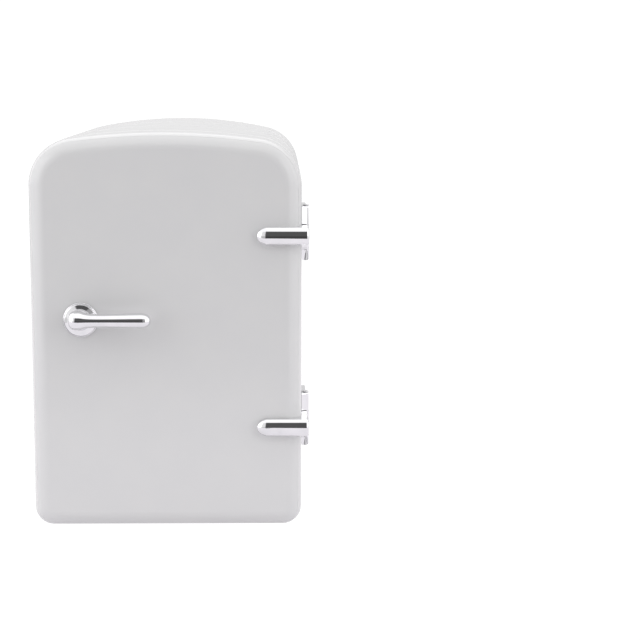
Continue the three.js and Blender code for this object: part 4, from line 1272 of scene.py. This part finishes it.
def handle_lever():
    """A slim waisted bar with a level front and a bullet tip, growing from a blunt end on a flared stem."""
    high = extent("handle_lever")[1]
    lever_y, lift, foot_y, foot_lift = -14.4, 1.8, -4.5, 0.6
    big, small, end_long, tip_long = 6.5, 5.1, 6.4, 7.4
    front = lever_y - big
    shoulder = high.x - HANDLE.x - tip_long
    turns = [math.radians(90 * i / 14) for i in range(15)]
    waist = [(1, 6.45), (2, 6.2), (3, 5.85), (4, 5.45), (5, 5.15), (6, 4.95), (8, 4.7), (10.5, 4.55)]
    waist += [(14, 4.46), (18, 4.5), (22, 4.6), (26, 4.7), (30, 4.8), (35, 4.95), (39, 5.05)]
    stations = [(-end_long * math.cos(t), big * blunt(math.cos(t), 3), lever_y) for t in turns]
    stations += [(x, radius, front + radius) for x, radius in waist]
    tip = [(shoulder + tip_long * math.sin(t), small * blunt(math.sin(t), 2.5)) for t in turns]
    stations += [(x, radius, front + small) for x, radius in tip]
    bar = [
        [(HANDLE.x + x, y + a, HANDLE.z + lift + b) for a, b in arc(0, 0, radius, 0, 360, 72)[:-1]]
        for x, radius, y in stations
    ]
    flare = [(lever_y, 6.4), (-12.5, 6.4), (-10.5, 6.3), (-9, 6.3), (-7.5, 6.45), (-6.3, 6.75), (-5.4, 7.1)]
    flare += [(-4.8, 7.35), (foot_y, 7.4)]
    stem = []
    for y, radius in flare:
        share = (y - foot_y) / (lever_y - foot_y)
        z = HANDLE.z + foot_lift + (lift - foot_lift) * share * share
        stem.append([(x, y, z + b) for x, b in arc(HANDLE.x, 0, radius, 0, 360, 72)[:-1]])
    spindle = [(0, -6), (4, -6), (4, high.y - 0.4), (3.6, high.y), (0, high.y)]
    lever = make("lever_bar", loft(bar))
    join(lever, loft(stem), turned("y", spindle, (HANDLE.x, 0, HANDLE.z), 32))
    finish(lever, "handle", "chrome", "handle_lever", sharp=50)


def latch_hook():
    """A flat claw on the spindle, held by a six-sided nut."""
    low, high = extent("latch_hook")
    stations = run(low.y, high.y, 0.4, 0.6, 3)
    hook = make("latch_claw", pad("y", circle(HANDLE.x, HANDLE.z, 4.5, 36), stations))
    arm = pad("y", rounded(HANDLE.x - 4, HANDLE.x + 4, low.z, HANDLE.z + 0.5, 1.5, 5), stations)
    face = high.y
    nut = [(0, face - 1), (2.4, face - 1), (2.4, face + 0.6), (2, face + 1), (0, face + 1)]
    join(hook, arm, turned("y", nut, (HANDLE.x, 0, HANDLE.z), 6))
    finish(hook, "handle", "steel", "latch_hook")


# ---- Hinges ----

def bar_dome(half, front, edge):
    """The rounded face of a hinge bar as (y, z) points, from its lower edge to its upper one."""
    rise = edge - front
    radius = (half ** 2 + rise ** 2) / (2 * rise)
    lean = math.degrees(math.asin(half / radius)) - 3
    upper = arc(front + radius, 0, radius, 180, 180 - lean, 9)[1:-1]
    upper += arc(edge + 0.55, half - 0.5, 0.5, 180 - lean, 90, 4)
    return [(y, -z) for y, z in reversed(upper)] + [(front, 0)] + upper


def hinge_strap(level):
    """A domed bar with a round end, turned back along the door's edge and spread to the knuckle."""
    low, high = extent(f"{level}_hinge_strap")
    leaf_z = middle(f"{level}_hinge_leaf").z
    bar_z = leaf_z + HINGE_BAR
    bottom, top = leaf_z + HINGE_UNDER, leaf_z + HINGE_OVER
    half, front, edge, rear = 5.85, low.y, low.y + 2.1, 1.0
    outer = high.x - 1.2
    cap_long, overlap = 8, 2
    start = low.x + cap_long - overlap
    button = [(z, y) for y, z in bar_dome(half, front, edge) if z >= 0] + [(half, rear), (0, rear)]
    stretch = Matrix.Diagonal((cap_long / half, 1, 1))
    strap = make(f"{level}_strap", moved(turned("y", button, sides=72), start + overlap, 0, bar_z, stretch))
    cut(strap, pad("y", rounded(start, start + 20, bar_z - 9, bar_z + 9, 0.1, 1), run(-9, 5)))
    section = polygon([(rear, half), (rear, -half), *bar_dome(half, front + 0.12, edge)][::-1])
    join(strap, moved(pad("x", section, run(start - 0.02, outer, 0, 1.6, 6)), z=bar_z))
    under, over = bar_z - half, bar_z + half

    def sweep(start, stop):
        return [(3 + 18 * i / 10, start + (stop - start) * (i / 10) ** 1.5) for i in range(11)]

    side = [(-3.4, under + 0.6), (1, under), *sweep(under, bottom), (PIVOT.y, bottom), (PIVOT.y, top)]
    side += [*reversed(sweep(over, top)), (1, over), (-3.4, over - 0.6)]
    join(strap, pad("x", polygon(side), run(HALF - 8, outer, 0, 1.2, 6)))
    join(strap, pad("z", polygon(knuckle_section(outer)), run(bottom, top, 0.15, 0.15, 2)))
    door_edge = loft([door_ring(y, inset) for y, inset in door_stations(-0.12, PIVOT.y + 8)])
    cut(strap, door_edge, rod("z", PIVOT.x, PIVOT.y, PIN_BORE, bottom - 1, top + 1, 24))
    finish(strap, "door", "chrome", f"{level}_hinge_strap", sharp=50)


def knuckle_section(outer, rear=None):
    """A knuckle's (x, y) section: a flat front that leans to the side, and a round or a straight back."""
    inner, face = HALF + 0.32, PIVOT.y - KNUCKLE
    section = [(inner, face + 0.15), (inner + 0.15, face), (outer - 1.6, face + 1.2)]
    section += arc(outer - 1.5, face + 2.7, 1.5, -75, 0, 5)
    if rear is None:
        return section + arc(PIVOT.x, PIVOT.y, 2.6, 20, 160, 8)
    section += [(outer, rear - 4.5), (outer - 0.6, rear - 3.8), (inner + 2.6, rear - 0.4), (inner, rear)]
    return section


def hinge_leaf(level):
    """The cabinet's half of a hinge: a plate with two countersunk screws and a knuckle above and below."""
    low, high = extent(f"{level}_hinge_leaf")
    leaf_z = middle(f"{level}_hinge_leaf").z
    inner, thick, outer = low.x, 3, high.x - 0.6
    skin = inner + thick
    plate_front, ear_rear = 38, 43
    plate = rounded(plate_front, high.y, low.z, high.z, 5, 8)
    leaf = make(f"{level}_leaf", pad("x", plate, run(inner, skin, 0, 0.8)))
    ear = polygon(knuckle_section(outer, ear_rear))
    join(
        leaf,
        pad("z", ear, run(leaf_z + HINGE_OVER + 0.3, high.z, 0.15, 1.3, 4)),
        pad("z", ear, run(low.z, leaf_z + HINGE_UNDER - 0.3, 1.3, 0.15, 4)),
    )
    face, top = PIVOT.y - KNUCKLE, leaf_z + HINGE_UNDER
    slope = [(face - 3, low.z - 1), (face + 1.3, low.z - 1), (face + 1.3, low.z)]
    slope += [(face + 0.02, top), (face - 3, top)]
    cut(leaf, loft([[(x, y + 0.36 * (x - inner), z) for y, z in slope] for x in (inner - 1, outer + 1)]))
    for i in (1, 2):
        y, z = across("x", middle(f"{level}_leaf_screw_{i}"))
        cut(leaf, pad("x", circle(y, z, 3, 28), run(skin - 1.2, skin, 0.9, -0.15, 2)))
        cut(leaf, rod("x", y, z, 1.5, inner - 1, skin, 20))
    cut(leaf, rod("z", PIVOT.x, PIVOT.y, PIN_BORE, low.z - 1, high.z + 1, 24))
    finish(leaf, "cabinet", "chrome", f"{level}_hinge_leaf", sharp=50)


def hinge_pin(level):
    low, high = extent(f"{level}_hinge_pin")
    head = high.z - 0.5
    profile = [(0, low.z), (0.9, low.z), (1.2, low.z + 0.3), (1.2, head), (2.1, head), (2.2, head + 0.1)]
    profile += [(2.1, high.z - 0.15), (1.4, high.z - 0.02), (0, high.z)]
    solid = turned("z", profile, (PIVOT.x, PIVOT.y, 0), 32)
    piece(f"{level}_pin", solid, "cabinet", "steel", f"{level}_hinge_pin")


def leaf_screws(level):
    solid = cross_screw(2.65, 1.2, 0.9, -10.8, 0.25)
    turn = Matrix.Rotation(-math.pi / 2, 3, "Z")
    for i in (1, 2):
        node = f"{level}_leaf_screw_{i}"
        y, z = across("x", middle(node))
        tilt = Matrix.Rotation(math.radians(31 * i), 3, "X")
        placed = moved(solid, extent(node)[1].x, y, z, tilt @ turn)
        piece(f"{level}_screw_{i}", placed, "cabinet", "steel", node)


def hinges():
    for level in LEVELS:
        hinge_strap(level)
        hinge_leaf(level)
        hinge_pin(level)
        leaf_screws(level)


def insulation():
    """The foam blocks keep their CAD shape and take the beaded foam."""
    for node in ("cabinet_insulation", "door_insulation"):
        obj = frame["nodes"][node]
        obj.data.materials.clear()
        obj.data.materials.append(MATERIALS["foam"])
        weld = obj.modifiers.new("weld", "WELD")
        weld.merge_threshold = 0.01 * MM


for build in (
    camera, floor, studio,
    body_shell, inner_liner, rear_cover, rating_label, cover_screws, feet, latch_keeper,
    cold_plate, cold_block, heat_sink, fan_frame, fan_rotor, bay_bulkhead,
    power_board, transformer, board_heat_sink, capacitors, varistor, ac_inlet, dc_inlet, mode_switch, leads,
    shelf, door_shell, door_inner_panel, door_gasket, door_rack,
    handle_rosette, handle_lever, latch_hook, hinges, insulation,
):
    build()
